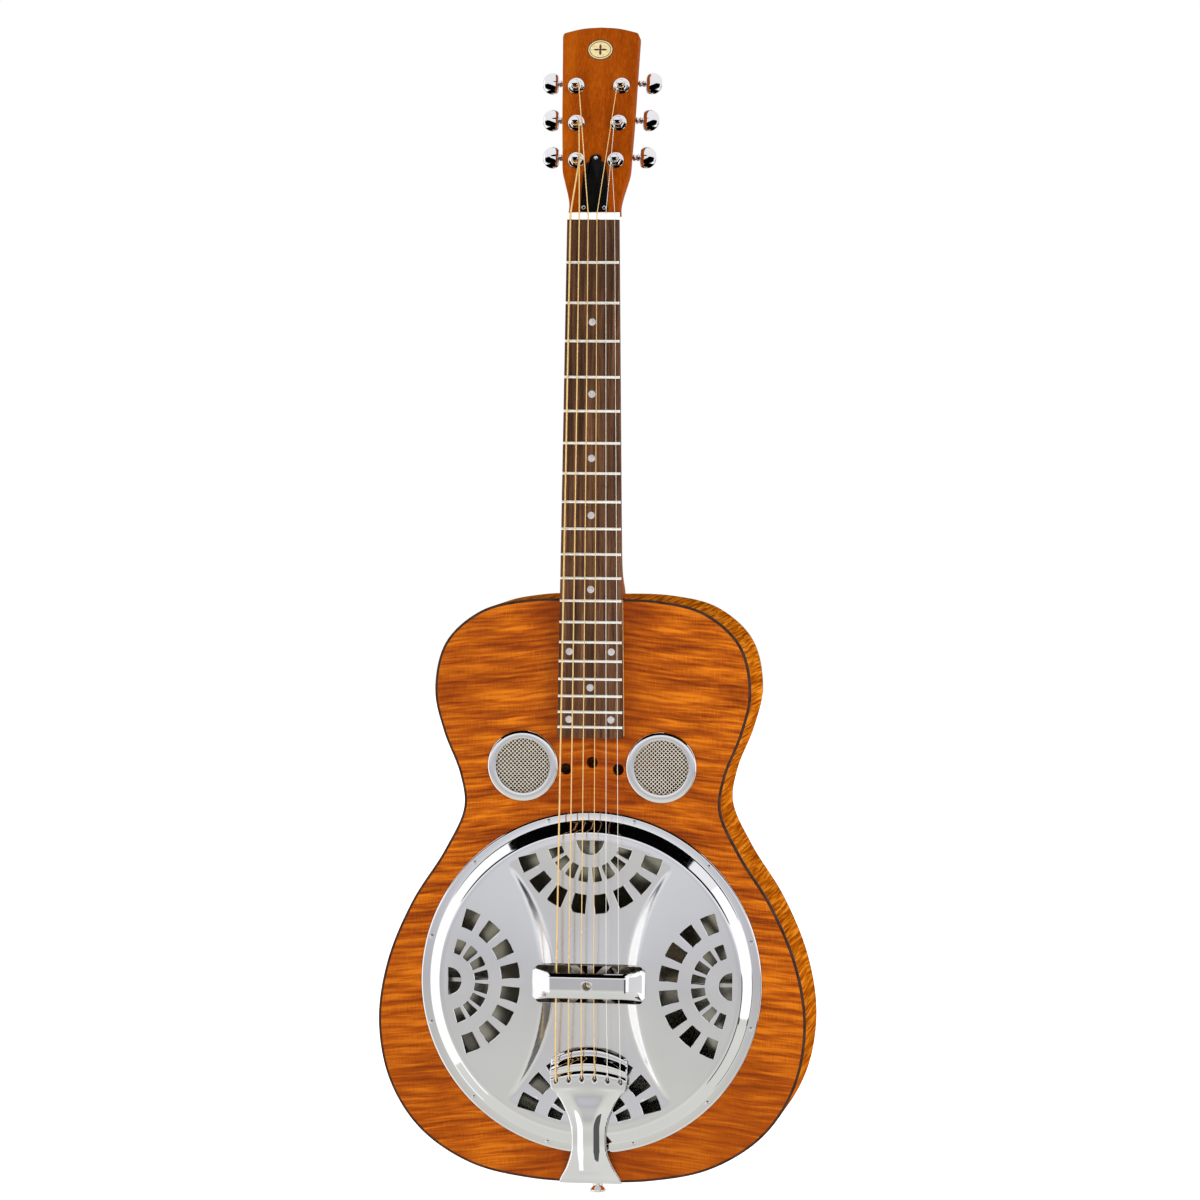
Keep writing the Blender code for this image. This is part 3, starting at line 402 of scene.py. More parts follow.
class Finish:
    """A node material in the making. Most methods add a node and give its output."""

    def __init__(self, name, **values):
        self.material = bpy.data.materials.new(name)
        self.material.use_nodes = True
        self.tree = self.material.node_tree
        self.tree.nodes.clear()
        self.shader = self.tree.nodes.new("ShaderNodeBsdfPrincipled")
        end = self.tree.nodes.new("ShaderNodeOutputMaterial")
        self.tree.links.new(self.shader.outputs[0], end.inputs[0])
        self.place = self.tree.nodes.new("ShaderNodeTexCoord").outputs["Object"]
        for key, value in values.items():
            self.set(key, value)

    def put(self, socket, value):
        if isinstance(value, bpy.types.NodeSocket):
            self.tree.links.new(value, socket)
        else:
            socket.default_value = value

    def set(self, key, value):
        socket = self.shader.inputs[key.replace("_", " ")]
        if isinstance(value, tuple) and len(value) == 3 and socket.type == "RGBA":
            value = (*value, 1.0)
        self.put(socket, value)

    def math(self, operation, a, b=0.0, c=0.0):
        node = self.tree.nodes.new("ShaderNodeMath")
        node.operation = operation
        for socket, value in zip(node.inputs, (a, b, c)):
            self.put(socket, value)
        return node.outputs[0]

    def split(self, vector):
        node = self.tree.nodes.new("ShaderNodeSeparateXYZ")
        self.put(node.inputs[0], vector)
        return node.outputs[0], node.outputs[1], node.outputs[2]

    def combined(self, x, y, z):
        node = self.tree.nodes.new("ShaderNodeCombineXYZ")
        for socket, value in zip(node.inputs, (x, y, z)):
            self.put(socket, value)
        return node.outputs[0]

    def scaled(self, vector, scale):
        node = self.tree.nodes.new("ShaderNodeMapping")
        self.put(node.inputs["Vector"], vector)
        node.inputs["Scale"].default_value = scale
        return node.outputs[0]

    def noise(self, vector, scale, detail, roughness=0.5, distortion=0.0):
        node = self.tree.nodes.new("ShaderNodeTexNoise")
        self.put(node.inputs["Vector"], vector)
        for key, value in (("Scale", scale), ("Detail", detail), ("Roughness", roughness),
                           ("Distortion", distortion)):
            node.inputs[key].default_value = value
        return node.outputs[0]

    def ramp(self, share, stops):
        node = self.tree.nodes.new("ShaderNodeValToRGB")
        self.put(node.inputs[0], share)
        fill_ramp(node.color_ramp, stops)
        return node.outputs[0]

    def range(self, value, low, high, to_low=0.0, to_high=1.0):
        node = self.tree.nodes.new("ShaderNodeMapRange")
        for socket, item in zip(node.inputs, (value, low, high, to_low, to_high)):
            self.put(socket, item)
        return node.outputs[0]

    def mix(self, share, a, b):
        node = self.tree.nodes.new("ShaderNodeMix")
        node.data_type = "RGBA"
        self.put(node.inputs[0], share)
        for socket, value in ((node.inputs[6], a), (node.inputs[7], b)):
            self.put(socket, (*value, 1.0) if isinstance(value, tuple) else value)
        return node.outputs[2]

    def attribute(self, name):
        node = self.tree.nodes.new("ShaderNodeAttribute")
        node.attribute_name = name
        return node.outputs["Fac"]

    def bump(self, height, distance, strength):
        node = self.tree.nodes.new("ShaderNodeBump")
        self.put(node.inputs["Height"], height)
        node.inputs["Distance"].default_value = distance * MM
        node.inputs["Strength"].default_value = strength
        self.put(self.shader.inputs["Normal"], node.outputs[0])


def lacquered(finish, coat, roughness, index=1.5):
    finish.set("Specular_IOR_Level", 0.0)
    finish.set("Coat_Weight", coat)
    finish.set("Coat_IOR", index)
    ripple = finish.noise(finish.place, 60.0, 2.0)
    finish.set("Coat_Roughness", finish.range(ripple, 0.3, 0.7, 0.6 * roughness, 1.6 * roughness))


def maple_finish(name, seen):
    """Flamed maple under lacquer. seen is "face" for a plate cut in two mirrored halves, or "rim"."""
    finish = Finish(name)
    x, y, z = finish.split(finish.place)
    side = finish.math("ABSOLUTE", x)
    if seen == "face":
        grain = finish.math("MULTIPLY_ADD", side, 0.10, z)
        across = side
        flame_scale, cross_scale = 240.0, 19.0
    else:
        grain = finish.attribute("run")
        across = y
        flame_scale, cross_scale = 400.0, 10.0
    flat = finish.combined(grain, across, 0.0)
    wander = finish.noise(flat, 22.0, 2.0)
    bent = finish.math("MULTIPLY_ADD", wander, 0.004, grain)
    curl = finish.combined(bent, across, 0.0)
    broad = finish.noise(finish.scaled(curl, (0.26 * flame_scale, 0.5 * cross_scale, 1.0)), 1.0, 1.0)
    main = finish.noise(finish.scaled(curl, (flame_scale, cross_scale, 1.0)), 1.0, 1.5, 0.5, 0.1)
    tight = finish.scaled(curl, (2.4 * flame_scale, 2.0 * cross_scale, 1.0))
    narrow = finish.noise(tight, 1.0, 2.0, 0.55, 0.1)
    fine = finish.noise(finish.scaled(flat, (90.0, 1900.0, 1.0)), 1.0, 2.0)
    flame = finish.math("MULTIPLY", broad, 0.22)
    flame = finish.math("MULTIPLY_ADD", main, 0.46, flame)
    flame = finish.math("MULTIPLY_ADD", narrow, 0.32, flame)
    flame = finish.math("MULTIPLY_ADD", finish.math("SUBTRACT", fine, 0.5), 0.16, flame)
    if seen == "face":
        stops = [(0.37, (0.130, 0.020, 0.0008)), (0.45, (0.265, 0.050, 0.0012)),
                 (0.52, (0.405, 0.090, 0.0020)), (0.61, (0.640, 0.175, 0.0060))]
    else:
        stops = [(0.41, (0.190, 0.036, 0.0010)), (0.47, (0.330, 0.078, 0.0018)),
                 (0.52, (0.470, 0.130, 0.0040)), (0.58, (0.700, 0.235, 0.0150))]
    colour = finish.ramp(flame, stops)
    blotch = finish.noise(finish.scaled(finish.place, (9.0, 9.0, 7.0)), 1.0, 2.0)
    colour = finish.mix(finish.range(blotch, 0.40, 0.68, 0.0, 0.38), colour, (0.230, 0.038, 0.001))
    # Painted shade: the wood darkens towards the tail end.
    shade = finish.range(z, 0.08, 0.34, 0.36, 0.0)
    colour = finish.mix(shade, colour, (0.240, 0.042, 0.001))
    if seen == "face":
        # Painted shade: darker along the middle line, as the shade beside the fretboard; the back plate gets
        # it too.
        middle = finish.range(side, 0.015, 0.070, 0.45, 0.0)
        colour = finish.mix(middle, colour, (0.190, 0.026, 0.001))
        seam = finish.range(side, 0.00012, 0.00035, 0.55, 0.0)
        colour = finish.mix(seam, colour, (0.060, 0.012, 0.002))
    pores = finish.noise(finish.scaled(flat, (160.0, 5200.0, 1.0)), 1.0, 1.0)
    colour = finish.mix(finish.range(pores, 0.62, 0.80, 0.0, 0.45), colour, (0.110, 0.018, 0.001))
    finish.set("Base_Color", colour)
    finish.set("Roughness", finish.range(flame, 0.4, 0.6, 0.46, 0.34))
    finish.bump(pores, 0.02, 0.25)
    lacquered(finish, 0.25 if seen == "face" else 0.0, 0.05)
    return finish.material


def mahogany_finish(name):
    finish = Finish(name)
    grain = finish.noise(finish.scaled(finish.place, (900.0, 700.0, 18.0)), 1.0, 3.0, 0.6)
    bands = finish.noise(finish.scaled(finish.place, (60.0, 60.0, 4.0)), 1.0, 2.0)
    share = finish.math("MULTIPLY_ADD", grain, 0.45, finish.math("MULTIPLY", bands, 0.55))
    colour = finish.ramp(share, [(0.32, (0.170, 0.026, 0.0008)), (0.50, (0.280, 0.052, 0.0016)),
                                 (0.68, (0.400, 0.088, 0.0036))])
    pores = finish.noise(finish.scaled(finish.place, (2600.0, 2600.0, 60.0)), 1.0, 1.0)
    colour = finish.mix(finish.range(pores, 0.60, 0.74, 0.0, 0.55), colour, (0.090, 0.014, 0.001))
    finish.set("Base_Color", colour)
    finish.set("Roughness", finish.range(bands, 0.3, 0.7, 0.46, 0.36))
    finish.bump(pores, 0.03, 0.3)
    lacquered(finish, 0.10, 0.12, 1.3)
    return finish.material


def rosewood_finish():
    finish = Finish("oiled rosewood")
    streak = finish.noise(finish.scaled(finish.place, (330.0, 330.0, 7.0)), 1.0, 3.0, 0.6, 0.2)
    fine = finish.noise(finish.scaled(finish.place, (1900.0, 1900.0, 40.0)), 1.0, 2.0)
    share = finish.math("MULTIPLY_ADD", fine, 0.30, finish.math("MULTIPLY", streak, 0.70))
    colour = finish.ramp(share, [(0.33, (0.026, 0.011, 0.005)), (0.45, (0.060, 0.026, 0.012)),
                                 (0.55, (0.110, 0.047, 0.021)), (0.68, (0.190, 0.088, 0.042))])
    pores = finish.noise(finish.scaled(finish.place, (3000.0, 3000.0, 130.0)), 1.0, 1.0)
    dark = finish.range(pores, 0.60, 0.72, 0.0, 0.8)
    finish.set("Base_Color", finish.mix(dark, colour, (0.012, 0.006, 0.004)))
    finish.set("Roughness", finish.range(streak, 0.3, 0.7, 0.55, 0.42))
    finish.set("Specular_IOR_Level", 0.12)
    finish.bump(finish.math("SUBTRACT", 1.0, dark), 0.05, 0.5)
    return finish.material


def raw_wood_finish(name, dark, light):
    finish = Finish(name)
    grain = finish.noise(finish.scaled(finish.place, (260.0, 500.0, 22.0)), 1.0, 3.0)
    finish.set("Base_Color", finish.ramp(grain, [(0.3, dark), (0.7, light)]))
    finish.set("Roughness", finish.range(grain, 0.3, 0.7, 0.75, 0.55))
    finish.bump(grain, 0.15, 0.4)
    return finish.material


def metal_finish(name, colour, roughness, smudge=0.25, grain=None, grain_depth=0.004, bare=1.0):
    """A metal whose gloss varies softly, with an optional direction to its polishing marks.

    bare is how much of it shines; the rest is dull.
    """
    finish = Finish(name, Metallic=bare)
    patches = finish.noise(finish.place, 22.0, 3.0)
    marks = finish.noise(finish.scaled(finish.place, grain or (900.0, 900.0, 900.0)), 1.0, 2.0)
    share = finish.range(patches, 0.3, 0.7, 0.0, 1.0)
    finish.set("Base_Color", finish.mix(share, tuple(0.9 * c for c in colour), colour))
    low, high = roughness * (1.0 - smudge), roughness * (1.0 + smudge)
    finish.set("Roughness", finish.math("MULTIPLY_ADD", share, high - low, low))
    finish.bump(marks, grain_depth, 0.35)
    return finish.material


def pressed_finish():
    """A chromed pressing, mirror bright on its turned edge and softer over its middle."""
    finish = Finish("chromed pressing", Metallic=1.0)
    x, y, z = finish.split(finish.place)
    up = finish.math("SUBTRACT", z, PLATE_Z * MM)
    away = finish.math("SQRT", finish.math("MULTIPLY_ADD", x, x, finish.math("MULTIPLY", up, up)))
    patches = finish.noise(finish.place, 22.0, 3.0)
    soft = finish.range(patches, 0.3, 0.7, 0.17, 0.23)
    edge = finish.range(away, 0.1225, 0.1255)
    finish.set("Roughness", finish.range(edge, 0.0, 1.0, soft, 0.06))
    finish.set("Base_Color", finish.mix(patches, (0.84, 0.84, 0.86), (0.90, 0.90, 0.92)))
    finish.bump(finish.noise(finish.place, 60.0, 2.0), 0.02, 0.35)
    return finish.material


def wound_finish():
    finish = Finish("bronze wound wire", Metallic=0.45)
    z = finish.split(finish.place)[2]
    turns = finish.math("SINE", finish.math("MULTIPLY", z, 2.0 * pi / (0.42 * MM)))
    patches = finish.noise(finish.place, 40.0, 2.0)
    colour = finish.mix(patches, (1.0, 0.62, 0.22), (1.0, 0.76, 0.36))
    # Painted shade in the grooves between the winding's turns.
    painted_groove_shade = finish.range(turns, -1.0, -0.4, 0.60, 0.0)
    finish.set("Base_Color", finish.mix(painted_groove_shade, colour, (0.50, 0.24, 0.06)))
    finish.set("Roughness", finish.range(patches, 0.3, 0.7, 0.30, 0.22))
    finish.bump(turns, 0.05, 0.8)
    return finish.material


def plain_finish(name, colour, other, roughness, coat, size=140.0):
    """A moulded, polished or painted stuff with slight clouding."""
    finish = Finish(name)
    clouds = finish.noise(finish.place, size, 3.0)
    finish.set("Base_Color", finish.ramp(clouds, [(0.35, colour), (0.65, other)]))
    finish.set("Roughness", finish.range(clouds, 0.3, 0.7, 0.8 * roughness, 1.2 * roughness))
    finish.bump(clouds, 0.01, 0.3)
    lacquered(finish, coat, 0.04)
    return finish.material


MAPLE = maple_finish("flamed maple plate", "face")
MAPLE_RIM = maple_finish("flamed maple rim", "rim")
MAHOGANY = mahogany_finish("stained mahogany")
ROSEWOOD = rosewood_finish()
SPRUCE = raw_wood_finish("raw spruce", (0.42, 0.27, 0.13), (0.62, 0.46, 0.26))
POPLAR = raw_wood_finish("raw plywood", (0.32, 0.22, 0.13), (0.48, 0.36, 0.22))
SADDLE_WOOD = raw_wood_finish("hard maple", (0.55, 0.38, 0.20), (0.72, 0.54, 0.32))
BINDING = plain_finish("dark binding", (0.030, 0.013, 0.008), (0.060, 0.028, 0.016), 0.30, 0.15)
BONE = plain_finish("polished bone", (0.86, 0.84, 0.78), (0.95, 0.94, 0.90), 0.25, 0.2, 400.0)
BLACK = plain_finish("black plastic", (0.003, 0.003, 0.003), (0.006, 0.005, 0.005), 0.12, 0.12)
PEARL = plain_finish("pearl inlay", (0.34, 0.33, 0.35), (0.52, 0.50, 0.51), 0.16, 0.3, 700.0)
BADGE_CREAM = plain_finish("cream enamel", (0.55, 0.44, 0.21), (0.70, 0.60, 0.33), 0.3, 0.6, 500.0)
BADGE_DARK = plain_finish("umber enamel", (0.060, 0.022, 0.010), (0.100, 0.040, 0.018), 0.3, 0.6, 500.0)
CHROME = metal_finish("polished chrome", (0.90, 0.90, 0.92), 0.035)
PRESSED = pressed_finish()
NICKEL = metal_finish("nickel fret wire", (0.97, 0.95, 0.88), 0.30, bare=0.5)
STEEL = metal_finish("plain steel wire", (1.0, 0.95, 0.82), 0.22, bare=0.5)
DARK_STEEL = metal_finish("steel rod", (0.45, 0.45, 0.46), 0.35)
BRONZE = wound_finish()
# The cone's base colour is far darker than bare aluminium: painted shade for the well under the coverplate,
# seen through its slots.
SPUN_IN_PAINTED_SHADE = metal_finish("spun aluminium", (0.38, 0.36, 0.30), 0.20, 0.3, (30.0, 1500.0, 30.0), 0.02)
CAST = metal_finish("cast aluminium", (0.66, 0.65, 0.62), 0.26, 0.3, (500.0, 500.0, 500.0), 0.06)
SCREEN_WIRE = metal_finish("screen wire", (0.84, 0.77, 0.66), 0.35, bare=0.35)


# ---------------------------------------------------------------- body

# Half of the body's outline: across, and up from the tail.
OUTLINE = (
    (0.0, 0.0), (50.2, 1.9), (101.0, 13.2), (143.9, 41.0), (169.9, 81.0), (179.4, 131.0),
    (172.0, 182.0), (151.0, 232.5), (123.5, 276.0), (107.5, 312.0), (111.2, 340.0),
    (124.9, 375.0), (132.3, 409.0), (123.4, 449.0), (93.8, 475.6), (55.6, 485.2), (0.0, 486.4),
)
OUTLINE_STEPS = 10
PLATE_THICK = 4.0
BACK_THICK = 3.0
SIDE_THICK = 2.5
BINDING_WIDE = 2.0
WELL_HOLE_R = 136.5
SCREEN_X, SCREEN_Z = 58.0, TAIL_Z + 347.2
SMALL_HOLES = ((-21.9, TAIL_Z + 344.9), (0.0, TAIL_Z + 350.6), (21.9, TAIL_Z + 344.9))
SMALL_HOLE_R = 4.75
SCREEN_HOLE_R = 27.0


def body_outline(inset):
    ends = [(-OUTLINE[1][0], OUTLINE[1][1]), *OUTLINE, (-OUTLINE[-2][0], OUTLINE[-2][1])]
    half = smooth_run(ends, OUTLINE_STEPS)[OUTLINE_STEPS:-OUTLINE_STEPS]
    whole = half + [(-x, z) for x, z in reversed(half[1:-1])]
    return [(x, z + TAIL_Z) for x, z in grown(whole, -inset)]


def hoop(profile):
    """A strip round the body from (inset, y) corners."""
    return skin([across_y(body_outline(inset), y) for inset, y in profile], looped=True)


def note_run(made):
    """Stores how far each point is round the rim from the tail, for the rim's grain."""
    guide = np.array(body_outline(0.0))
    steps = np.hypot(*(np.roll(guide, -1, axis=0) - guide).T)
    run = np.concatenate([[0.0], np.cumsum(steps)[:-1]])
    run = np.minimum(run, steps.sum() - run) * MM
    places = np.array([(v.co.x, v.co.z) for v in made.data.vertices]) / MM
    nearest = [int(((guide - p) ** 2).sum(axis=1).argmin()) for p in places]
    values = made.data.attributes.new("run", "FLOAT", "POINT")
    values.data.foreach_set("value", run[nearest].astype(np.float32))


def build_body():
    top_inner = TOP_Y + PLATE_THICK
    back_inner = BACK_Y - BACK_THICK
    holes = [shifted(circle(WELL_HOLE_R, 96), 0.0, PLATE_Z)]
    holes += [shifted(circle(SCREEN_HOLE_R, 48), side * SCREEN_X, SCREEN_Z) for side in (-1, 1)]
    holes += [shifted(circle(SMALL_HOLE_R, 32), x, z) for x, z in SMALL_HOLES]
    outline = body_outline(BINDING_WIDE + 0.02)
    for end, loops, outer, inner in (("top", [outline, *holes], TOP_Y, top_inner),
                                     ("back", [outline], BACK_Y, back_inner)):
        plate = sheet(loops, [], lambda x, z, y=outer: (x, y, z), lambda x, z, y=inner: (x, y, z), 0.12, 0.15)
        piece(end + "_plate_shaped", plate, MAPLE, "flamed_maple", stands_for=(end + "_plate",))
    for end, outer, inner, inwards in (("top", TOP_Y, top_inner, 1.0), ("back", BACK_Y, back_inner, -1.0)):
        band = ((0.0, inner), (0.0, outer + inwards * 0.9), (0.12, outer + inwards * 0.42),
                (0.42, outer + inwards * 0.12), (0.9, outer), (BINDING_WIDE, outer), (BINDING_WIDE, inner))
        piece(end + "_binding_shaped", hoop(band), BINDING, "binding", stands_for=(end + "_binding",))
    rim = piece("sides_shaped", hoop(((0.0, top_inner + 0.02), (0.0, back_inner - 0.02),
                                      (SIDE_THICK, back_inner - 0.02), (SIDE_THICK, top_inner + 0.02))),
                MAPLE_RIM, "flamed_maple", stands_for=("sides",))
    note_run(rim)
    for node in ("top_lining", "back_lining", "neck_block", "tail_block"):
        repaint(node, SPRUCE)
    repaint("soundwell", POPLAR)


# ---------------------------------------------------------------- resonator

PLATE_R = 142.75
DOME_R = 123.5
# The coverplate's turned edge: distance from the centre and height.
SHOULDER = (
    (PLATE_R, 0.35), (142.7, 1.0), (142.2, 1.42), (141.0, 1.5), (136.0, 1.5), (135.2, 1.62), (134.6, 1.95),
    (134.0, 2.4), (128.6, 6.8), (127.9, 7.33), (127.1, 7.8), (126.2, 8.08), (125.2, 8.2), (DOME_R, 8.2),
)
DOME_SLOPE = 0.055
VALLEY_DEEP = 6.2
VALLEY_FADE_R = 119.0
RIDGE_ARC = 162.0
RIDGE_HALF = 35.0
RIDGE_STEEP = 0.49
PLATE_SHEET = 1.2
PLATE_SCREWS = 12
PLATE_SCREW_R = 139.0
FAN_R = 121.0
FAN_STEP = 19.5
FAN_SLOTS = 8
SMALL_SLOT = (24.6, 36.4, 13.0)
LARGE_SLOT = (47.5, 63.0, 12.0)
D_HOLE_R = 11.4
D_HOLE_CHORD = 1.8
BRIDGE_HOLE = (44.5, 15.4)
PLATE_STEPS = 192
DOME_GRID = 2.1


def about_plate(ring, y):
    return across_y(ring, y, 0.0, PLATE_Z)


def dome_height(x, z):
    """The coverplate's front inside its shoulder, about its own centre."""
    r = hypot(x, z)
    high = SHOULDER[-1][1] + DOME_SLOPE * (DOME_R - r)
    from_arc = RIDGE_ARC - hypot(abs(x) - RIDGE_ARC - RIDGE_HALF, z)
    deep = VALLEY_DEEP * max(0.0, 1.0 - (r / VALLEY_FADE_R) ** 2)
    return high - deep * eased_step(0.5 - from_arc * RIDGE_STEEP / max(deep, 0.5))


def fan_slots():
    loops = []
    for quarter in range(4):
        facing = quarter * pi / 2.0
        hub = (FAN_R * cos(facing), FAN_R * sin(facing))
        cross = (hub[0] * (1.0 - D_HOLE_CHORD / FAN_R), hub[1] * (1.0 - D_HOLE_CHORD / FAN_R))
        arc = [facing + pi / 2.0 + pi * k / 24.0 for k in range(25)]
        outline = [(cross[0] + D_HOLE_R * cos(t), cross[1] + D_HOLE_R * sin(t)) for t in arc]
        loops.append(outline)
        for near, far, wide in (SMALL_SLOT, LARGE_SLOT):
            for k in range(FAN_SLOTS):
                middle = facing + pi + radians(FAN_STEP * (k - (FAN_SLOTS - 1) / 2.0))
                spread = radians(wide / 2.0)
                turns = ((near, -spread), (far, -spread), (far, 0.0), (far, spread), (near, spread),
                         (near, 0.0))
                corners = [(hub[0] + r * cos(middle + t), hub[1] + r * sin(middle + t)) for r, t in turns]
                central = far > 50.0 and quarter in (1, 3) and k in (3, 4)
                soft = [0.6, 0.6, 0.6, 0.6, 0.6, 0.6]
                if central:
                    soft[1 if k == 3 else 3] = 4.5
                loops.append(round_corners(corners, soft, 3))
    return loops


def build_coverplate():
    rim = circle(DOME_R, PLATE_STEPS)
    opening = [(-BRIDGE_HOLE[0], -BRIDGE_HOLE[1]), (BRIDGE_HOLE[0], -BRIDGE_HOLE[1]),
               BRIDGE_HOLE, (-BRIDGE_HOLE[0], BRIDGE_HOLE[1])]
    loops = [rim, *fan_slots(), round_corners(opening, 3.0)]
    count = int(DOME_R / DOME_GRID) + 1
    grid = [(DOME_GRID * (a + 0.5 * (b % 2)), DOME_GRID * 0.87 * b)
            for b in range(-count - 8, count + 9) for a in range(-count, count + 1)]
    grid = [p for p in grid if hypot(*p) < DOME_R - 2.0]
    points, faces = sheet(loops, grid, lambda x, z: (x, front(dome_height(x, z)), PLATE_Z + z),
                          lambda x, z: (x, front(dome_height(x, z) - PLATE_SHEET), PLATE_Z + z), 0.3, 0.35)
    # The dome's outer wall is left out and its edge drawn onto the shoulder's, so that the two weld.
    far = {k for k, p in enumerate(points) if hypot(p[0], p[2] - PLATE_Z) > DOME_R - 0.05}
    faces = [f for f in faces if not (len(f) == 4 and all(k in far for k in f))]
    edge_h = SHOULDER[-1][1]
    for k in far:
        x, y, z = points[k]
        share = DOME_R / hypot(x, z - PLATE_Z)
        h = edge_h if y < front(edge_h - 0.5 * PLATE_SHEET) else edge_h - PLATE_SHEET
        points[k] = (share * x, front(h), PLATE_Z + share * (z - PLATE_Z))
    outer = [about_plate(circle(r, PLATE_STEPS), front(h)) for r, h in SHOULDER]
    inner_run = [(PLATE_R, 0.3)] + [(r, max(h - PLATE_SHEET, 0.3)) for r, h in SHOULDER[3:]]
    inner = [about_plate(circle(r, PLATE_STEPS), front(h)) for r, h in inner_run]
    wall_points, wall_faces = skin(outer[::-1] + inner)
    shape = several([(points, faces), (wall_points, wall_faces[:-2])])
    piece("coverplate_shaped", shape, PRESSED, "chrome", stands_for=("coverplate",), sharp=38.0, weld=0.02)
    for k in range(PLATE_SCREWS):
        turn = 2.0 * pi * (k + 0.5) / PLATE_SCREWS
        x, z = PLATE_SCREW_R * cos(turn), PLATE_Z + PLATE_SCREW_R * sin(turn)
        cross_screw(f"plate_screw_{k + 1}", (x, front(1.5), z), 1.9, 1.0, 0.4 * k)


def cross_screw(name, place, radius, tall, turn=0.0, tilt=0.0):
    """A domed screw head with a crossed recess, facing the front or tilted back with the headstock."""
    crown = [(radius * sin(t), tall * cos(t) ** 0.8) for t in [pi / 2.0 * k / 7.0 for k in range(1, 7)]]
    profile = [(0.0, tall), *crown, (radius, 0.0), (0.0, 0.0)]
    head = piece(name, turned([(r, -h) for r, h in profile], 28), CHROME, "chrome")
    arms = []
    wide, long = 0.22 * radius, 0.72 * radius
    for quarter in (0.0, pi / 2.0):
        corners = [(-long, -wide), (long, -wide), (long, wide), (-long, wide)]
        spun = [(a * cos(turn + quarter) - b * sin(turn + quarter),
                 a * sin(turn + quarter) + b * cos(turn + quarter)) for a, b in corners]
        arms.append(skin([across_y(spun, -2.0 * tall), across_y(spun, -0.45 * tall)]))
    carved(head, arms[:1])
    carved(head, arms[1:])
    change = Matrix.Translation(Vector(place) * MM) @ Matrix.Rotation(-tilt, 4, "X")
    head.data.transform(change)
    return head


# The palm rest: distance from the middle, half width, height (none where it stands on the plate).
REST_H = 27.6
REST_SHEET = 1.4
REST_FOOT_SHEET = 0.45
REST_END = 47.6
REST_STATIONS = (
    (REST_END, 12.4, None), (46.0, 12.9, 14.7), (42.0, 12.7, 18.2), (36.5, 11.6, 23.1),
    (31.5, 10.7, REST_H), (0.0, 10.7, REST_H),
)
REST_BEND = (-2.6, -1.3, 0.0, 1.3, 2.6)
REST_BEND_WEIGHTS = (0.12, 0.24, 0.28, 0.24, 0.12)


def rest_at(x):
    """Half width and height of the palm rest at x, with sharp bends."""
    away = min(abs(x), REST_END)
    foot = 0.3 + REST_FOOT_SHEET
    rows = [(far, half, dome_height(far, 0.0) + foot if h is None else h) for far, half, h in REST_STATIONS]
    for (far, half_a, h_a), (near, half_b, h_b) in zip(rows, rows[1:]):
        if near <= away <= far:
            share = (away - near) / (far - near)
            return half_b + (half_a - half_b) * share, h_b + (h_a - h_b) * share


def rest_soft(x):
    """The same, with the bends given a radius."""
    spots = [rest_at(x + d) for d in REST_BEND]
    return [sum(w * spot[k] for w, spot in zip(REST_BEND_WEIGHTS, spots)) for k in (0, 1)]


def rest_drop(share, x):
    """How far the palm rest's edges bend back at a share of its half width."""
    strength = min(1.0, max(0.0, (44.0 - abs(x)) / 6.0))
    low = max(0.0, -(share + 0.40) / 0.60)
    high = max(0.0, (share - 0.70) / 0.30)
    return strength * (3.6 * low ** 1.15 + 2.2 * high ** 1.2)


def build_palm_rest():
    steps = 100
    run = [-REST_END + 2.0 * REST_END * k / steps for k in range(steps + 1)]
    halves = [rest_soft(x)[0] - 2.0 * max(0.0, (abs(x) - REST_END + 3.0) / 3.0) ** 2 for x in run]
    outline = [(x, -half) for x, half in zip(run, halves)]
    outline += [(x, half) for x, half in zip(run[::-1], halves)]
    grid = [(x * 1.25, z * 1.25) for x in range(-40, 41) for z in range(-14, 15)]

    def side_of(share_of_sheet):
        def place(x, z):
            half, h = rest_soft(x)
            thick = REST_FOOT_SHEET + (REST_SHEET - REST_FOOT_SHEET) * min(1.0, (REST_END - abs(x)) / 6.0)
            return (x, front(h - rest_drop(z / half, x) - share_of_sheet * thick), PLATE_Z + z)
        return place

    shape = sheet([outline, circle(3.4, 40)], grid, side_of(0.0), side_of(1.0), 0.35, 0.4)
    piece("palm_rest_shaped", shape, CHROME, "chrome", stands_for=("palm_rest",), sharp=50.0)
    flare = [(3.35, 0.0), (3.5, 0.35), (4.3, 0.45), (4.9, 0.25), (5.0, -0.1), (3.35, -0.1)]
    eyelet = turned([(r, front(REST_H + h)) for r, h in flare], 40, about_plate, True)
    piece("palm_rest_eyelet", eyelet, CHROME, "chrome")


# The cone: distance from the middle and height.
CONE = (
    (133.2, -7.1), (127.6, -7.1), (126.0, -8.2), (124.3, -10.6), (94.0, -20.4), (62.0, -30.5),
    (40.0, -33.2), (26.0, -33.0), (18.0, -30.4), (13.5, -26.0), (6.6, -10.6), (2.4, -8.6),
)
CONE_SHEET = 0.7


def build_cone():
    rippled = []
    for r, h in smooth_run(CONE, 5):
        ripple = 0.5 * sin(2.0 * pi * r / 6.4) if 30.0 < r < 122.0 else 0.0
        rippled.append((r, h + ripple))
    outer = [(r, front(h)) for r, h in rippled]
    inner = [(r, front(h - CONE_SHEET)) for r, h in reversed(rippled)]
    shape = turned(outer + inner, 96, about_plate, True)
    piece("resonator_cone_shaped", shape, SPUN_IN_PAINTED_SHADE, "spun_aluminium", stands_for=("resonator_cone",))


# ---------------------------------------------------------------- screens

SCREEN_WIRE_R = 0.39
SCREEN_PITCH = 2.4
WEAVE_R = 24.9


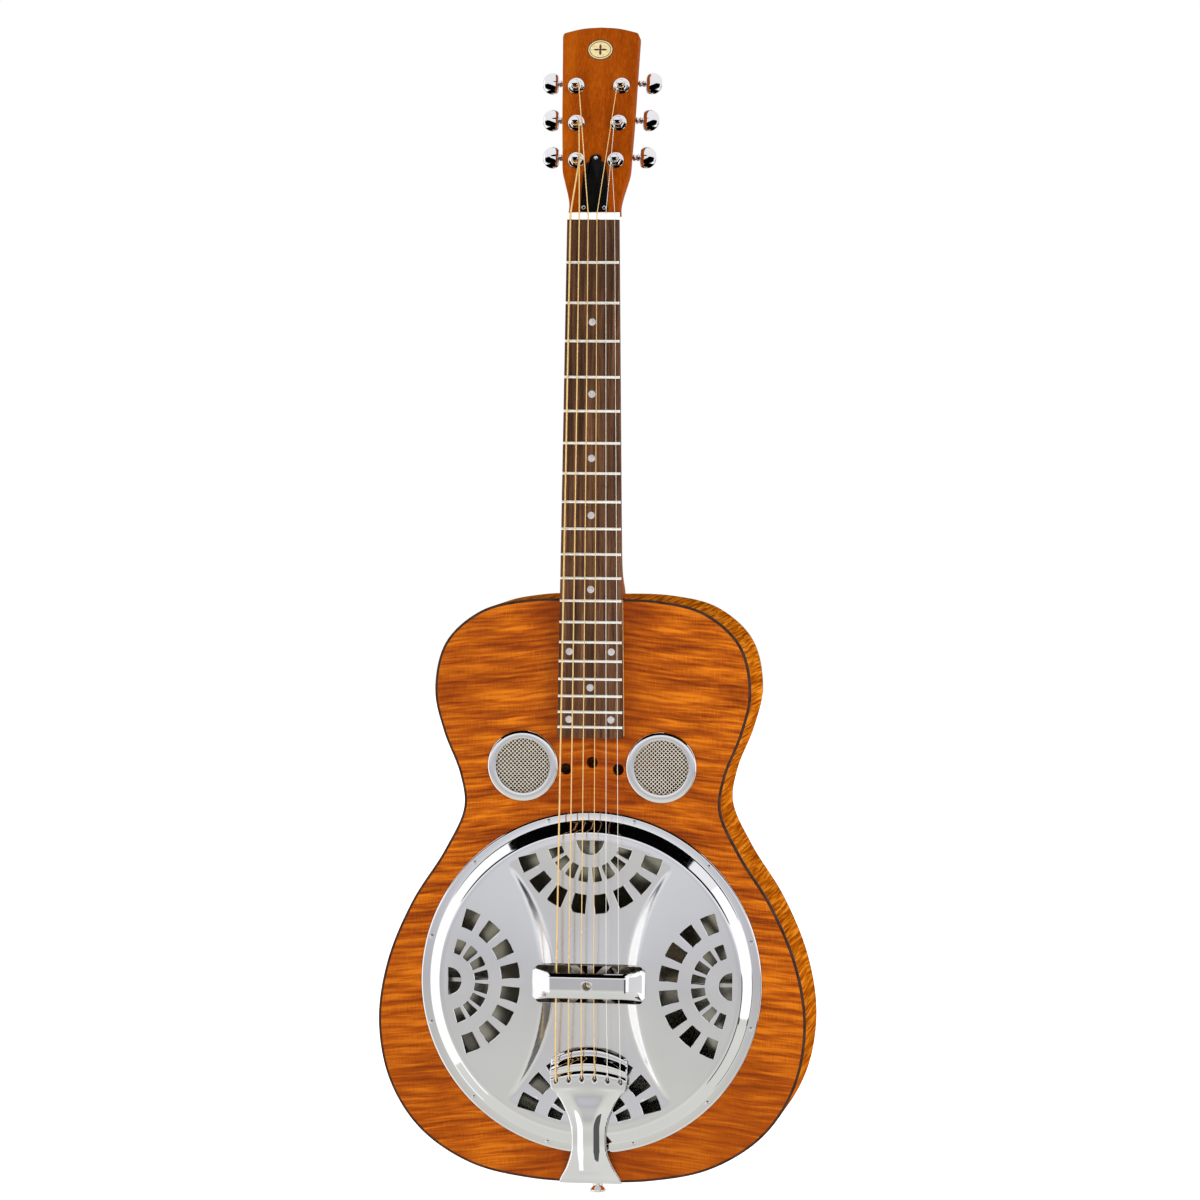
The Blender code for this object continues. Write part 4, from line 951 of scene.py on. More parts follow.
def woven(centre_x, radius, h):
    """Two crossing sets of crimped wires that stop at a round frame."""
    wires = []
    count = int(radius / SCREEN_PITCH)
    for lay, turn in ((0, radians(45.0)), (1, radians(-45.0))):
        for k in range(-count, count + 1):
            off = k * SCREEN_PITCH
            reach = sqrt(max(radius ** 2 - off ** 2, 0.0))
            steps = int(2.0 * reach / (SCREEN_PITCH / 3.0))
            if steps < 6:
                continue
            path = []
            for j in range(steps + 1):
                run = -reach + 2.0 * reach * j / steps
                wave = cos(pi * run / SCREEN_PITCH) * (1 if (k + lay) % 2 else -1)
                x = run * cos(turn) - off * sin(turn)
                z = run * sin(turn) + off * cos(turn)
                path.append((centre_x + x, front(h + SCREEN_WIRE_R * wave), SCREEN_Z + z))
            wires.append(tube(path, [SCREEN_WIRE_R] * len(path), 5))
    return several(wires)


def build_screens():
    ring = [(29.75, 0.05), (29.7, 0.5), (29.4, 1.2), (28.9, 1.65), (28.2, 1.9), (26.0, 2.05), (23.9, 2.1),
            (23.0, 1.95), (22.6, 1.5), (22.5, 1.0), (22.5, -0.2), (25.6, -0.2), (25.6, -5.0), (26.5, -5.0),
            (26.5, 0.05)]
    for name, side in (("bass", -1), ("treble", 1)):
        x = side * SCREEN_X
        section = [(r, front(h)) for r, h in ring]
        piece("screen_ring_" + name + "_shaped",
              turned(section, 96, lambda c, y, x=x: across_y(c, y, x, SCREEN_Z), True), PRESSED, "chrome",
              stands_for=("screen_ring_" + name,))
        piece("screen_weave_" + name, woven(x, WEAVE_R, -0.85), SCREEN_WIRE, "screen_wire",
              stands_for=("screen_mesh_" + name,), sharp=80.0, weld=1e-5)


# ---------------------------------------------------------------- tailpiece

TAIL_SHEET = 1.4
TAIL_SLOT_Z = 104.7
TAIL_SLOT_BOW = 4.2
TAIL_PITCH = 10.8
# Underside of the tailpiece: up the body, height, half width, and how far the edges sit back.
TAIL_STATIONS = (
    (129.0, 8.6, 30.2, 9.4), (128.6, 9.6, 31.0, 9.3), (127.4, 10.1, 31.7, 9.1), (122.6, 10.3, 32.2, 8.5),
    (121.4, 10.8, 32.3, 8.2), (117.6, 13.9, 32.4, 7.4), (116.2, 14.4, 32.4, 7.1), (114.0, 14.1, 32.4, 6.8),
    (110.9, 12.9, 32.4, 6.1), (110.2, 13.0, 32.4, 6.0), (108.8, 14.0, 32.4, 5.7), (107.4, 14.3, 32.3, 5.4),
    (102.5, 14.2, 32.0, 4.5), (97.0, 14.1, 30.6, 2.8), (92.0, 13.9, 27.3, 0.8), (86.0, 13.5, 23.8, 0.0),
    (80.5, 13.1, 21.0, 0.0), (71.5, 12.1, 17.2, 0.0), (61.0, 11.2, 14.9, 0.0), (46.0, 10.0, 14.7, 0.0),
    (38.0, 7.8, 16.4, 0.0), (27.5, 3.8, 20.4, 0.0), (21.0, 1.6, 24.0, 0.0), (17.2, 0.6, 25.9, 0.0),
    (15.6, -1.2, 26.2, 0.0), (15.2, -4.0, 26.0, 0.0), (15.2, -12.0, 23.0, 0.0), (15.2, -38.0, 12.0, 0.0),
    (15.2, -54.0, 10.0, 0.0),
)


def string_places(pitch):
    return [pitch * (2.5 - k) for k in range(6)]


def tail_slot_z(x):
    return TAIL_SLOT_Z - TAIL_SLOT_BOW * (x / 32.0) ** 2


def build_tailpiece():
    run = smooth_run(TAIL_STATIONS, 5)
    travel = [0.0]
    for near, far in zip(run, run[1:]):
        travel.append(travel[-1] + hypot(far[0] - near[0], far[1] - near[1]))
    travel = np.array(travel)
    table = np.array(run)
    slope = np.gradient(table[:, :2], travel, axis=0)
    slope /= np.hypot(slope[:, 0], slope[:, 1])[:, None]

    def at(s):
        return [np.interp(s, travel, table[:, k]) for k in range(4)] + \
            [np.interp(s, travel, slope[:, k]) for k in range(2)]

    def emboss(x, z):
        """The raised rib up the shank, which widens and fades where the shank does."""
        plateau = 3.0 + 10.0 * max(0.0, (z - 62.0) / 30.0) ** 1.5
        ends = eased_step((z - 22.5) / 4.0) * eased_step((94.0 - z) / 30.0)
        return 2.5 * ends * eased_step(1.0 - (abs(x) - plateau) / 7.0)

    def side_of(raise_by):
        def place(x, s):
            z, h, half, bow, dz, dh = at(s)
            share = min(1.0, abs(x) / half)
            crown = -1.6 * share ** 2.6 if z < 96.0 and h > 0.0 else -0.9 * share ** 4
            lift = raise_by + (emboss(x, z) if h > 0.0 else 0.0)
            return (x, front(h + crown - dz * lift), z + dh * lift - bow * share * share)
        return place

    edge = [(-at(s)[2], s) for s in np.linspace(0.0, travel[-1], 150)]
    loops = [edge + [(-x, s) for x, s in reversed(edge)]]
    face = np.flatnonzero(table[:, 1] > 5.0)
    for x in string_places(TAIL_PITCH):
        share = (x / table[face, 2]) ** 2
        miss = np.abs(table[face, 0] - table[face, 3] * share - tail_slot_z(x))
        middle = travel[face[miss.argmin()]]
        drop = [(1.75 * sin(t) * (1.0 + 0.35 * cos(t)), middle + 2.5 * cos(t))
                for t in [2.0 * pi * k / 24.0 for k in range(24)]]
        loops.append([(x + a, b) for a, b in drop])
    wrapped = np.flatnonzero(table[:, 0] < 15.3)
    button_at = float(np.interp(-TOP_Y, -table[wrapped, 1], travel[wrapped]))
    loops.append([(a, button_at + b) for a, b in circle(3.5, 24)])
    grid = [(x, s) for x in np.arange(-32.0, 32.5, 1.0) for s in np.arange(0.6, travel[-1], 1.2)]
    piece("tailpiece_shaped", sheet(loops, grid, side_of(TAIL_SHEET), side_of(0.0), 0.4, 0.45),
          CHROME, "chrome", stands_for=("tailpiece",), sharp=50.0)


def build_strap_button():
    plate_z = TAIL_Z - GAP - TAIL_SHEET
    rim = [(0.0, 0.5), (2.2, 0.5), (2.6, 0.1), (3.2, 0.0), (5.3, 0.0), (6.1, 0.25), (6.55, 0.9), (6.6, 1.7),
           (6.2, 2.6), (5.2, 3.6), (4.3, 4.9), (4.0, 6.6), (4.2, 8.8), (4.7, 10.8), (5.3, 12.4),
           (5.6, plate_z - GAP), (3.2, plate_z - GAP), (3.2, 33.0), (1.5, 37.0), (0.0, 37.0)]
    piece("strap_button_shaped", turned(rim, 64, across_z), CHROME, "chrome", stands_for=("strap_button",))


# ---------------------------------------------------------------- neck and fretboard

SCALE = 628.65
BOARD_END_H = 14.0
BOARD_THICK = 5.8
NECK_SLOPE = 0.0123
NUT_PITCH = 7.36
NUT_STRING_H = 10.7
BOARD_HALF_NUT = 21.5
BOARD_HALF_END = 27.3
FRETS = 19
HEAD_THICK = 15.0
HEAD_HALF = (
    (21.2, 0.0), (21.0, 7.0), (22.4, 15.0), (25.4, 26.0), (27.6, 35.0), (28.6, 55.0), (29.7, 79.0),
    (30.8, 115.0), (31.9, 150.3),
)
HEAD_SHOULDER = ((31.9, 150.3), (31.7, 152.0), (31.2, 153.2), (30.2, 154.2), (29.0, 154.6), (15.0, 157.9),
                 (0.0, 159.0))
NECK_STATIONS = (
    (0.0, 86.0, 0.42), (4.0, 84.0, 0.42), (9.0, 76.0, 0.40), (15.0, 62.0, 0.36), (22.0, 48.0, 0.30),
    (30.0, 37.0, 0.22), (40.0, 28.5, 0.12), (54.0, 23.0, 0.04), (75.0, 19.8, 0.0), (120.0, 18.6, 0.0),
    (200.0, 17.6, 0.0), (290.0, 16.2, 0.0), (HEAD_Z - HEEL_Z - 0.5, 15.4, 0.0),
)
COVER_HALF = (
    (11.3, 0.8), (10.9, 18.0), (10.2, 30.0), (8.6, 38.0), (7.5, 42.0), (4.0, 43.5), (4.5, 46.5),
    (3.2, 49.0),
)
COVER_THICK = 1.9
BADGE_S = 139.5
BADGE_SQUASH = 0.82
DOT_FRETS = (3, 5, 7, 9, 12, 15, 17, 19)
PAIRED_DOTS = (15, 19)


def board_h(z):
    return BOARD_END_H - NECK_SLOPE * (z - BOARD_END_Z)


def board_half(z):
    share = (NUT_Z - z) / (NUT_Z - BOARD_END_Z)
    return BOARD_HALF_NUT + (BOARD_HALF_END - BOARD_HALF_NUT) * share


def neck_h(z):
    return board_h(z) - BOARD_THICK - GAP


def fret_z(n):
    return NUT_Z - SCALE * (1.0 - 2.0 ** (-n / 12.0))


def neck_section(z, top_h, half, deep, heel):
    """A section that is flat in front: a D in the shaft, squarer and drawn in at the heel."""
    ring = []
    for k in range(41):
        t = pi * k / 40.0
        across = copysign(abs(cos(t)) ** (1.0 - 1.3 * heel), cos(t))
        ring.append((half * across * (1.0 - 0.35 * heel * sin(t)), front(top_h) + deep * sin(t) ** 0.9, z))
    return ring


def build_neck():
    rings = []
    for up, deep, heel in smooth_run(NECK_STATIONS, 6):
        z = HEEL_Z + GAP + up
        rings.append(neck_section(z, neck_h(z), board_half(z) - 0.25, deep, heel))
    inside_h = HEAD_FACE_H - 10.0 * sin(HEAD_TILT) / cos(HEAD_TILT) - 1.0
    rings.append(neck_section(HEAD_Z + 10.0, inside_h, 19.0, 13.2, 0.0))
    neck = piece("neck_shaped", skin(rings), MAHOGANY, "mahogany", stands_for=("neck",))
    half = smooth_run(HEAD_HALF, 6)[:-1] + smooth_run(HEAD_SHOULDER, 4)
    outline = half + [(-x, s) for x, s in reversed(half[:-1])]
    edge = ((1.1, 0.0), (0.55, 0.15), (0.15, 0.55), (0.0, 1.1), (0.0, HEAD_THICK - 1.3),
            (0.2, HEAD_THICK - 0.6), (0.6, HEAD_THICK - 0.2), (1.3, HEAD_THICK))
    slab = skin([across_y(grown(outline, -inset), deep) for inset, deep in edge])
    slab = piece("head_slab", moved(slab, head_place), MAHOGANY, "mahogany")
    combined_with(neck, slab, "UNION")
    tongue = [(-14.0, front(-18.0)), (14.0, front(-18.0)), (14.0, front(-66.0)), (-14.0, front(-66.0))]
    tongue = piece("tongue", skin([across_z(tongue, HEEL_Z - 24.0), across_z(tongue, HEEL_Z + 6.0)]),
                   MAHOGANY, "mahogany")
    combined_with(neck, tongue, "UNION")
    pocket = [(-5.4, front(8.0)), (5.4, front(8.0)), (5.4, front(-5.0)), (-5.4, front(-5.0))]
    cuts = [skin([across_z(pocket, HEAD_Z - 3.0), across_z(pocket, HEAD_Z + 26.0)])]
    for x, s in TUNERS.values():
        bore = skin([across_y(circle(4.4, 32), deep, x, s) for deep in (-4.0, HEAD_THICK + 4.0)])
        cuts.append(moved(bore, head_place))
    carved(neck, cuts)

    outline = [*COVER_HALF, *[(-x, s) for x, s in reversed(COVER_HALF)]]
    corners = [0.6, 4.0, 4.0, 3.0, 0.8, 0.8, 1.0, 2.4]
    outline = round_corners(outline, corners + corners[::-1], 5)
    edge = ((0.0, -0.05), (0.0, -COVER_THICK + 0.45), (0.12, -COVER_THICK + 0.14), (0.45, -COVER_THICK))
    cover = skin([across_y(grown(outline, -inset), deep) for inset, deep in edge])
    piece("truss_rod_cover_shaped", moved(cover, head_place), BLACK, "black_plastic",
          stands_for=("truss_rod_cover",))
    for k, (x, s) in enumerate(((0.0, 46.0), (-8.6, 3.6), (8.6, 3.6))):
        cross_screw(f"cover_screw_{k + 1}", head_place((x, -COVER_THICK, s)), 1.75, 0.9, 0.5 * k, HEAD_TILT)
    repaint("truss_rod", DARK_STEEL)
    repaint("truss_rod_nut", DARK_STEEL)
    # The shim is given pale hard maple as a painted highlight, standing for the light line along the
    # fretboard's treble edge.
    repaint("fretboard_shim", SADDLE_WOOD)
    build_badge()


def build_badge():
    """A plain oval inlay with a ring and a four-pointed star."""
    def plaque(name, loop, deep, finish):
        edge = ((0.0, 0.02), (0.0, -deep + 0.05), (0.05, -deep))
        shape = skin([across_y(grown(loop, -inset), at, 0.0, BADGE_S) for inset, at in edge])
        piece(name, moved(shape, head_place), finish, "binding")

    oval = circle(11.0, 64, 0.0, BADGE_SQUASH)
    plaque("head_badge_rim", oval, 0.10, BADGE_DARK)
    plaque("head_badge_field", grown(oval, -1.0), 0.16, BADGE_CREAM)
    plaque("head_badge_ring", grown(oval, -1.9), 0.20, BADGE_DARK)
    plaque("head_badge_heart", grown(oval, -2.5), 0.24, BADGE_CREAM)
    star = []
    for k in range(32):
        t = 2.0 * pi * k / 32.0
        r = 1.1 + 4.6 * abs(cos(2.0 * t)) ** 3
        star.append((r * cos(t), BADGE_SQUASH * r * sin(t)))
    plaque("head_badge_star", star, 0.28, BADGE_DARK)


def build_fretboard():
    rings = []
    low, high = BOARD_END_Z, NUT_Z
    ease = 0.5
    for z, pull in ((low, ease), (low + 0.15, 0.15), (low + ease, 0.0), (high, 0.0)):
        half = board_half(z)
        top, under = board_h(z), board_h(z) - BOARD_THICK
        right = [(half - pull, under), (half, under + 0.2 + pull), (half, top - ease - pull),
                 (half - 0.15, top - 0.15 - pull), (half - ease, top - pull)]
        left = [(-x, h) for x, h in reversed(right)]
        ring = [left[-1], *right, *left[:-1]]
        rings.append([(x, front(h), z) for x, h in ring])
    piece("fretboard_shaped", skin(rings), ROSEWOOD, "rosewood", stands_for=("fretboard",))
    for n in range(1, FRETS + 1):
        z = fret_z(n)
        half = board_half(z)
        top = board_h(z)
        rings = []
        for x, tall in ((-half + 0.05, 0.15), (-half + 0.25, 0.55), (-half + 0.6, 0.88), (-half + 1.0, 1.0),
                        (half - 1.0, 1.0), (half - 0.6, 0.88), (half - 0.25, 0.55), (half - 0.05, 0.15)):
            arch = [(1.15 * cos(pi * k / 10.0), 1.08 * tall * sin(pi * k / 10.0)) for k in range(11)]
            rings.append([(x, front(top + h), z + a) for a, h in arch + [(-1.15, -0.3), (1.15, -0.3)]])
        piece(f"fret_{n:02d}", skin(rings), NICKEL, "steel", sharp=50.0)
    for n in DOT_FRETS:
        z = (fret_z(n) + fret_z(n - 1)) / 2.0
        for k, x in enumerate((-17.5, 17.5) if n in PAIRED_DOTS else (0.0,)):
            slope = Matrix.Rotation(-NECK_SLOPE, 4, "X")
            disc = turned([(0.0, -0.05), (2.9, -0.05), (3.0, 0.02), (3.0, 0.6), (0.0, 0.6)], 40)
            lean = [tuple(slope @ Vector(p)) for p in disc[0]]
            shape = ([(x + a, front(board_h(z)) + b, z + c) for a, b, c in lean], disc[1])
            piece(f"dot_{n:02d}_{k + 1}", shape, PEARL, "bone", sharp=50.0)


def build_nut():
    top_out = NUT_STRING_H - 0.2
    rings = []
    steps = 160
    half = BOARD_HALF_NUT
    slots = list(zip(string_places(NUT_PITCH), STRING_RADII))
    for k in range(steps + 1):
        x = -half + 2.0 * half * k / steps
        edge = min(1.0, (half - abs(x)) / 0.9)
        top = top_out - 0.7 * (1.0 - edge) ** 2 - 0.25 * (x / half) ** 2
        low = top
        for at, radius in slots:
            if abs(x - at) < radius + 0.14:
                low = NUT_STRING_H - radius - 0.16
        bottom = neck_h(NUT_Z) + GAP
        back, face = HEAD_Z - 0.02, NUT_Z + 0.05
        section = ((bottom, face), (min(low, top - 0.5), face), (low, face + 0.6), (low, back - 1.6),
                   (low - 0.5, back - 0.6), (low - 1.4, back), (bottom, back))
        rings.append([(x, front(h), z) for h, z in section])
    piece("nut_shaped", skin(rings), BONE, "bone", stands_for=("nut",), sharp=40.0)


# ---------------------------------------------------------------- strings

STRING_RADII = (0.20, 0.23, 0.33, 0.43, 0.54, 0.70)
STRING_OUT = (5.0, 5.9, 6.2)
POST_WAIST_R = 2.4
SADDLE_PITCH = 10.45
SADDLE_STRING_H = 22.3
TUNERS = {}


def find_tuners():
    """Each tuner's place (across, up the headstock's face), from its post's joint."""
    for joint in frame["record"]["behaviour"]["joints"]:
        if joint["name"].startswith("post_turn_"):
            x, y, z = (c / MM for c in joint["pos_m"])
            s = (y - front(HEAD_FACE_H)) * sin(HEAD_TILT) + (z - HEAD_Z) * cos(HEAD_TILT)
            TUNERS[joint["name"].removeprefix("post_turn_")] = (x, s)


def build_strings():
    nut_x = string_places(NUT_PITCH)
    saddle_x = string_places(SADDLE_PITCH)
    tail_x = string_places(TAIL_PITCH)
    for k in range(6):
        radius = STRING_RADII[k]
        bank, row = ("treble", k + 1) if k < 3 else ("bass", 6 - k)
        side = 1 if k < 3 else -1
        post_x, post_s = TUNERS[f"{bank}_{row}"]
        finish, slot_name = (STEEL, "steel") if k < 2 else (BRONZE, "bronze_wound")
        slot = tail_slot_z(tail_x[k])
        reach = POST_WAIST_R + radius + 0.08
        meet = touch_point((nut_x[k], NUT_Z + 4.6 - HEAD_Z), (post_x, post_s), reach, side)
        out = STRING_OUT[row - 1]
        path = [
            (tail_x[k], front(12.9), slot - 0.6), (tail_x[k], front(14.2), slot - 0.5),
            (tail_x[k], front(15.4), slot - 0.1), (tail_x[k], front(16.3), slot + 1.0),
            (tail_x[k], front(16.9), slot + 2.6), (tail_x[k], front(18.8), slot + 28.5),
            (saddle_x[k], front(SADDLE_STRING_H), PLATE_Z), (nut_x[k], front(NUT_STRING_H), NUT_Z + 0.6),
            (nut_x[k], front(NUT_STRING_H - 0.1), NUT_Z + 4.6), head_place((meet[0], -out, meet[1])),
        ]
        piece(f"string_{k + 1}_shaped", tube(path, [radius] * len(path), 12), finish, slot_name,
              stands_for=(f"string_{k + 1}",), sharp=80.0, weld=1e-5)
        build_twist(k, tail_x[k], slot, radius, finish, slot_name)
        build_coil(f"{bank}_{row}", radius, out, side, meet, finish, slot_name)


def touch_point(start, centre, reach, side):
    """Where a line from start touches a circle about centre, on the neck's middle side of it."""
    away = Vector(centre) - Vector(start)
    turn = Matrix.Rotation(side * asin(reach / away.length), 2)
    return Vector(start) + turn @ (away.normalized() * sqrt(away.length ** 2 - reach ** 2))


def build_twist(k, x, slot, radius, finish, slot_name):
    """The lock twist beside the ball end, and the ball below the tailpiece's face."""
    wire = 0.62 * min(radius, 0.34)
    low, high = Vector((x, front(16.9), slot + 2.6)), Vector((x, front(18.8), slot + 28.5))
    along = (high - low).normalized()
    side = Vector((1.0, 0.0, 0.0))
    up = along.cross(side)
    turns = 9 if k < 3 else 8
    path = []
    count = turns * 12
    for j in range(count + 1):
        share = j / count
        t = 2.0 * pi * turns * share
        reach = radius + wire
        spot = low.lerp(high, 0.02 + 0.80 * share ** 0.92)
        path.append(tuple(spot + side * (reach * cos(t)) + up * (reach * sin(t))))
    twist = tube(path, [wire] * len(path), 7)
    piece(f"string_{k + 1}_twist", twist, finish, slot_name, sharp=80.0, weld=1e-5)
    ball = [(0.9, -1.9), (1.7, -1.8), (2.0, -1.2), (1.5, -0.5), (1.45, 0.0), (1.5, 0.5), (2.0, 1.2),
            (1.7, 1.8), (0.9, 1.9)]
    shape = turned(ball, 24, lambda ring, d: across_x(ring, x + d, front(11.6), slot - 0.6), True)
    piece(f"string_{k + 1}_ball", shape, DARK_STEEL, "steel", sharp=50.0)


def build_coil(name, radius, out, side, meet, finish, slot_name):
    """The turns of string round a post, from where the string meets it; they ride with it."""
    x, s = TUNERS[name]
    reach = hypot(x - meet[0], s - meet[1])
    start = atan2(meet[1] - s, side * (x - meet[0]))
    turns = 2.5 if radius > 0.4 else 3.5
    count = int(turns * 28)
    path = []
    for j in range(count + 1):
        t = start + 2.0 * pi * turns * j / count
        height = out - j / count * min(turns * 2.05 * radius, out - 4.45 - radius)
        path.append(head_place((x - side * reach * cos(t), -height, s + reach * sin(t))))
    piece(f"coil_{name}", tube(path, [radius * 0.98] * len(path), 8), finish, slot_name, "post_" + name,
          sharp=80.0, weld=1e-5)


# ---------------------------------------------------------------- tuners

POST_R = 3.0
POST_TOP = 10.6
WORM_OFFSET = 8.0
WORM_DEEP = 20.2
WHEEL_TEETH = 14
WHEEL_PITCH_R = 5.4
# One tooth of the worm wheel: share of the step round from its middle, and radius.
WHEEL_TOOTH = (
    (-0.5, 4.25), (-0.27, 4.35), (-0.09, 5.65), (-0.04, 5.75), (0.04, 5.75), (0.09, 5.65), (0.27, 4.35),
)
WORM_PITCH = 2.0 * pi * WHEEL_PITCH_R / WHEEL_TEETH
WORM_ROOT_R = 1.7
WORM_THREAD = 1.3
WORM_TURNS = 2
# The shaft and its collars beyond the worm: distance out and radius.
SHAFT = (
    (4.4, 1.7), (11.6, 1.7), (11.7, 2.4), (11.9, 2.8), (12.3, 2.95), (13.1, 2.95), (13.5, 2.8),
    (13.7, 2.3), (14.1, 2.05), (14.5, 2.1), (14.8, 2.6), (15.1, 2.85), (15.5, 2.95), (16.3, 2.95),
    (16.7, 2.8), (16.9, 2.3), (17.3, 1.95), (18.6, 1.9),
)
# The knob: distance out, half thickness, half height.
KNOB = (
    (18.0, 1.3, 2.2), (18.15, 2.3, 5.0), (18.7, 3.0, 7.2), (19.8, 3.6, 8.5), (21.6, 4.0, 9.15),
    (23.6, 4.1, 9.2), (25.8, 4.0, 8.7), (27.8, 3.6, 7.6), (29.6, 2.9, 5.8), (30.7, 2.0, 3.8),
    (31.1, 1.0, 1.8),
)


def worm_ring(x, steps):
    ring = []
    for k in range(steps):
        turn = 2.0 * pi * k / steps
        phase = x / WORM_PITCH - (turn + pi / 2.0) / (2.0 * pi)
        away = abs(phase - round(phase))
        rise = min(1.0, 1.35 * max(0.0, 1.0 - away / 0.28))
        r = WORM_ROOT_R + WORM_THREAD * rise
        ring.append((r * cos(turn), r * sin(turn)))
    return across_x(ring, x)


def build_tuner(name, x, s):
    side = -1.0 if x < 0.0 else 1.0

    def here(point):
        return head_place((x + point[0], point[1], s + point[2]))

    post = [
        (0.0, -POST_TOP), (1.5, -POST_TOP), (2.2, -POST_TOP + 0.12), (2.7, -10.2), (2.95, -9.8),
        (POST_R, -9.5), (POST_R, -8.9), (2.7, -8.55), (POST_WAIST_R, -8.1), (POST_WAIST_R - 0.06, -6.2),
        (POST_WAIST_R, -4.5), (2.7, -4.1), (POST_R, -3.9), (POST_R, WORM_DEEP + 2.4), (0.0, WORM_DEEP + 2.4),
    ]
    shaft = piece(f"post_{name}_shaped", moved(turned(post, 40), here), CHROME, "chrome", "post_" + name,
                  ("tuner_post_" + name,))
    eye = skin([across_x(circle(0.75, 16), d, -6.2, 0.0) for d in (-4.0, 4.0)])
    carved(shaft, [moved(eye, here)])
    wheel = []
    step = 2.0 * pi / WHEEL_TEETH
    for k in range(WHEEL_TEETH):
        middle = pi / 2.0 + step * (k + 0.5)
        for share, r in WHEEL_TOOTH:
            wheel.append((r * cos(middle + share * step), r * sin(middle + share * step)))
    gear = skin([across_y(grown(wheel, -d), WORM_DEEP + at) for d, at in
                 ((0.25, -1.2), (0.0, -0.9), (0.0, 0.9), (0.25, 1.2))])
    piece(f"wheel_{name}", moved(gear, here), DARK_STEEL, "steel", "post_" + name)

    def out_here(point):
        return here((point[0], WORM_DEEP + point[1], WORM_OFFSET + point[2]))

    half = WORM_PITCH * WORM_TURNS / 2.0
    steps = 28
    rings = [across_x(circle(1.5, steps), -side * (half + past)) for past in (1.2, 0.1)]
    for k in range(12 * WORM_TURNS + 1):
        rings.append(worm_ring(side * (WORM_PITCH * k / 12.0 - half), steps))
    rings += [across_x(circle(r, steps), side * d) for d, r in SHAFT]
    turned_shaft = skin(rings)
    piece(f"shaft_{name}", moved(turned_shaft, out_here), CHROME, "chrome", "button_" + name,
          ("tuner_button_" + name,))
    knob_run = smooth_run(KNOB, 5)
    knob = []
    for d, thick, tall in knob_run:
        ring = []
        for k in range(64):
            t = 2.0 * pi * k / 64.0
            a, b = cos(t), sin(t)
            waist = 1.0 - 0.16 * max(0.0, 1.0 - abs(b) / 0.55) * max(0.0, 1.0 - (d - 18.0) / 9.0)
            ring.append((thick * waist * abs(a) ** 0.85 * (1 if a > 0 else -1), tall * b))
        lobes = 1.1 * max(0.0, 1.0 - (d - 18.0) / 3.0)
        knob.append([(side * (d - lobes * abs(b / tall) ** 2 * 0.6), a, b) for a, b in ring])
    piece(f"knob_{name}", moved(skin(knob), out_here), CHROME, "chrome", "button_" + name, sharp=60.0)

    bush = [(4.05, 9.0), (4.05, -0.02), (7.0, -0.02), (7.0, -0.5), (6.8, -0.95), (6.4, -1.25), (5.9, -1.35),
            (5.45, -1.4)]
    rings = [across_y(circle(r, 48), at) for r, at in bush]
    for across, at in ((4.85, -1.4), (4.85, -3.0), (4.7, -3.35)):
        rings.append(across_y(hexagon(across, 48), at))
    rings += [across_y(circle(r, 48), at) for r, at in ((4.45, -3.65), (4.1, -3.9), (3.5, -3.95), (3.3, -3.8),
                                                        (3.3, 9.0))]
    piece(f"bushing_{name}_shaped", moved(skin(rings, True), here), CHROME, "chrome",
          stands_for=("tuner_bushing_" + name,), sharp=28.0)
    reshaped("tuner_housing_" + name, CHROME, "chrome", 0.7)
    screw = cross_screw(f"housing_screw_{name}", (0.0, 0.0, 0.0), 1.5, 0.7)
    screw.data.transform(Matrix.Rotation(pi, 4, "Z"))
    change = Matrix.Translation(Vector(here((0.0, 25.1, -2.4))) * MM) @ Matrix.Rotation(-HEAD_TILT, 4, "X")
    screw.data.transform(change)


def hexagon(across, steps):
    """A hexagon with softened corners, as a ring of many points."""
    ring = []
    for k in range(steps):
        t = 2.0 * pi * k / steps
        flat = (t % (pi / 3.0)) - pi / 6.0
        r = min(across / cos(flat), across * 1.12)
        ring.append((r * cos(t), r * sin(t)))
    return ring


def build_rest_of_resonator():
    build_cone()
    reshaped("spider_bridge", CAST, "cast_aluminium", 0.5)
    reshaped("saddle_bass", SADDLE_WOOD, "saddle_wood", 0.3)
    reshaped("saddle_treble", SADDLE_WOOD, "saddle_wood", 0.3)
    reshaped("tension_screw", STEEL, "steel", 0.15, "tension_screw")


# ---------------------------------------------------------------- studio

CAMERA_PLACE = (0.611, -4.3627, 0.7312)
CAMERA_YAW = 0.139245594
CAMERA_PITCH = 0.0527221542
CAMERA_ROLL = 0.00435823
CAMERA_LENS = 158.084


def build_camera():
    forward = Vector((-sin(CAMERA_YAW) * cos(CAMERA_PITCH), cos(CAMERA_YAW) * cos(CAMERA_PITCH),
                      -sin(CAMERA_PITCH)))
    right = Vector((cos(CAMERA_YAW), sin(CAMERA_YAW), 0.0))
    up = right.cross(forward)
    rolled_right = right * cos(CAMERA_ROLL) + up * sin(CAMERA_ROLL)
    rolled_up = up * cos(CAMERA_ROLL) - right * sin(CAMERA_ROLL)
    data = bpy.data.cameras.new("camera")
    data.lens = CAMERA_LENS
    data.sensor_width = 36.0
    data.clip_start = 0.05
    camera = bpy.data.objects.new("camera", data)
    turn = Matrix((rolled_right, rolled_up, -forward)).transposed().to_4x4()
    camera.matrix_world = Matrix.Translation(CAMERA_PLACE) @ turn
    bpy.context.scene.collection.objects.link(camera)
    bpy.context.scene.camera = camera


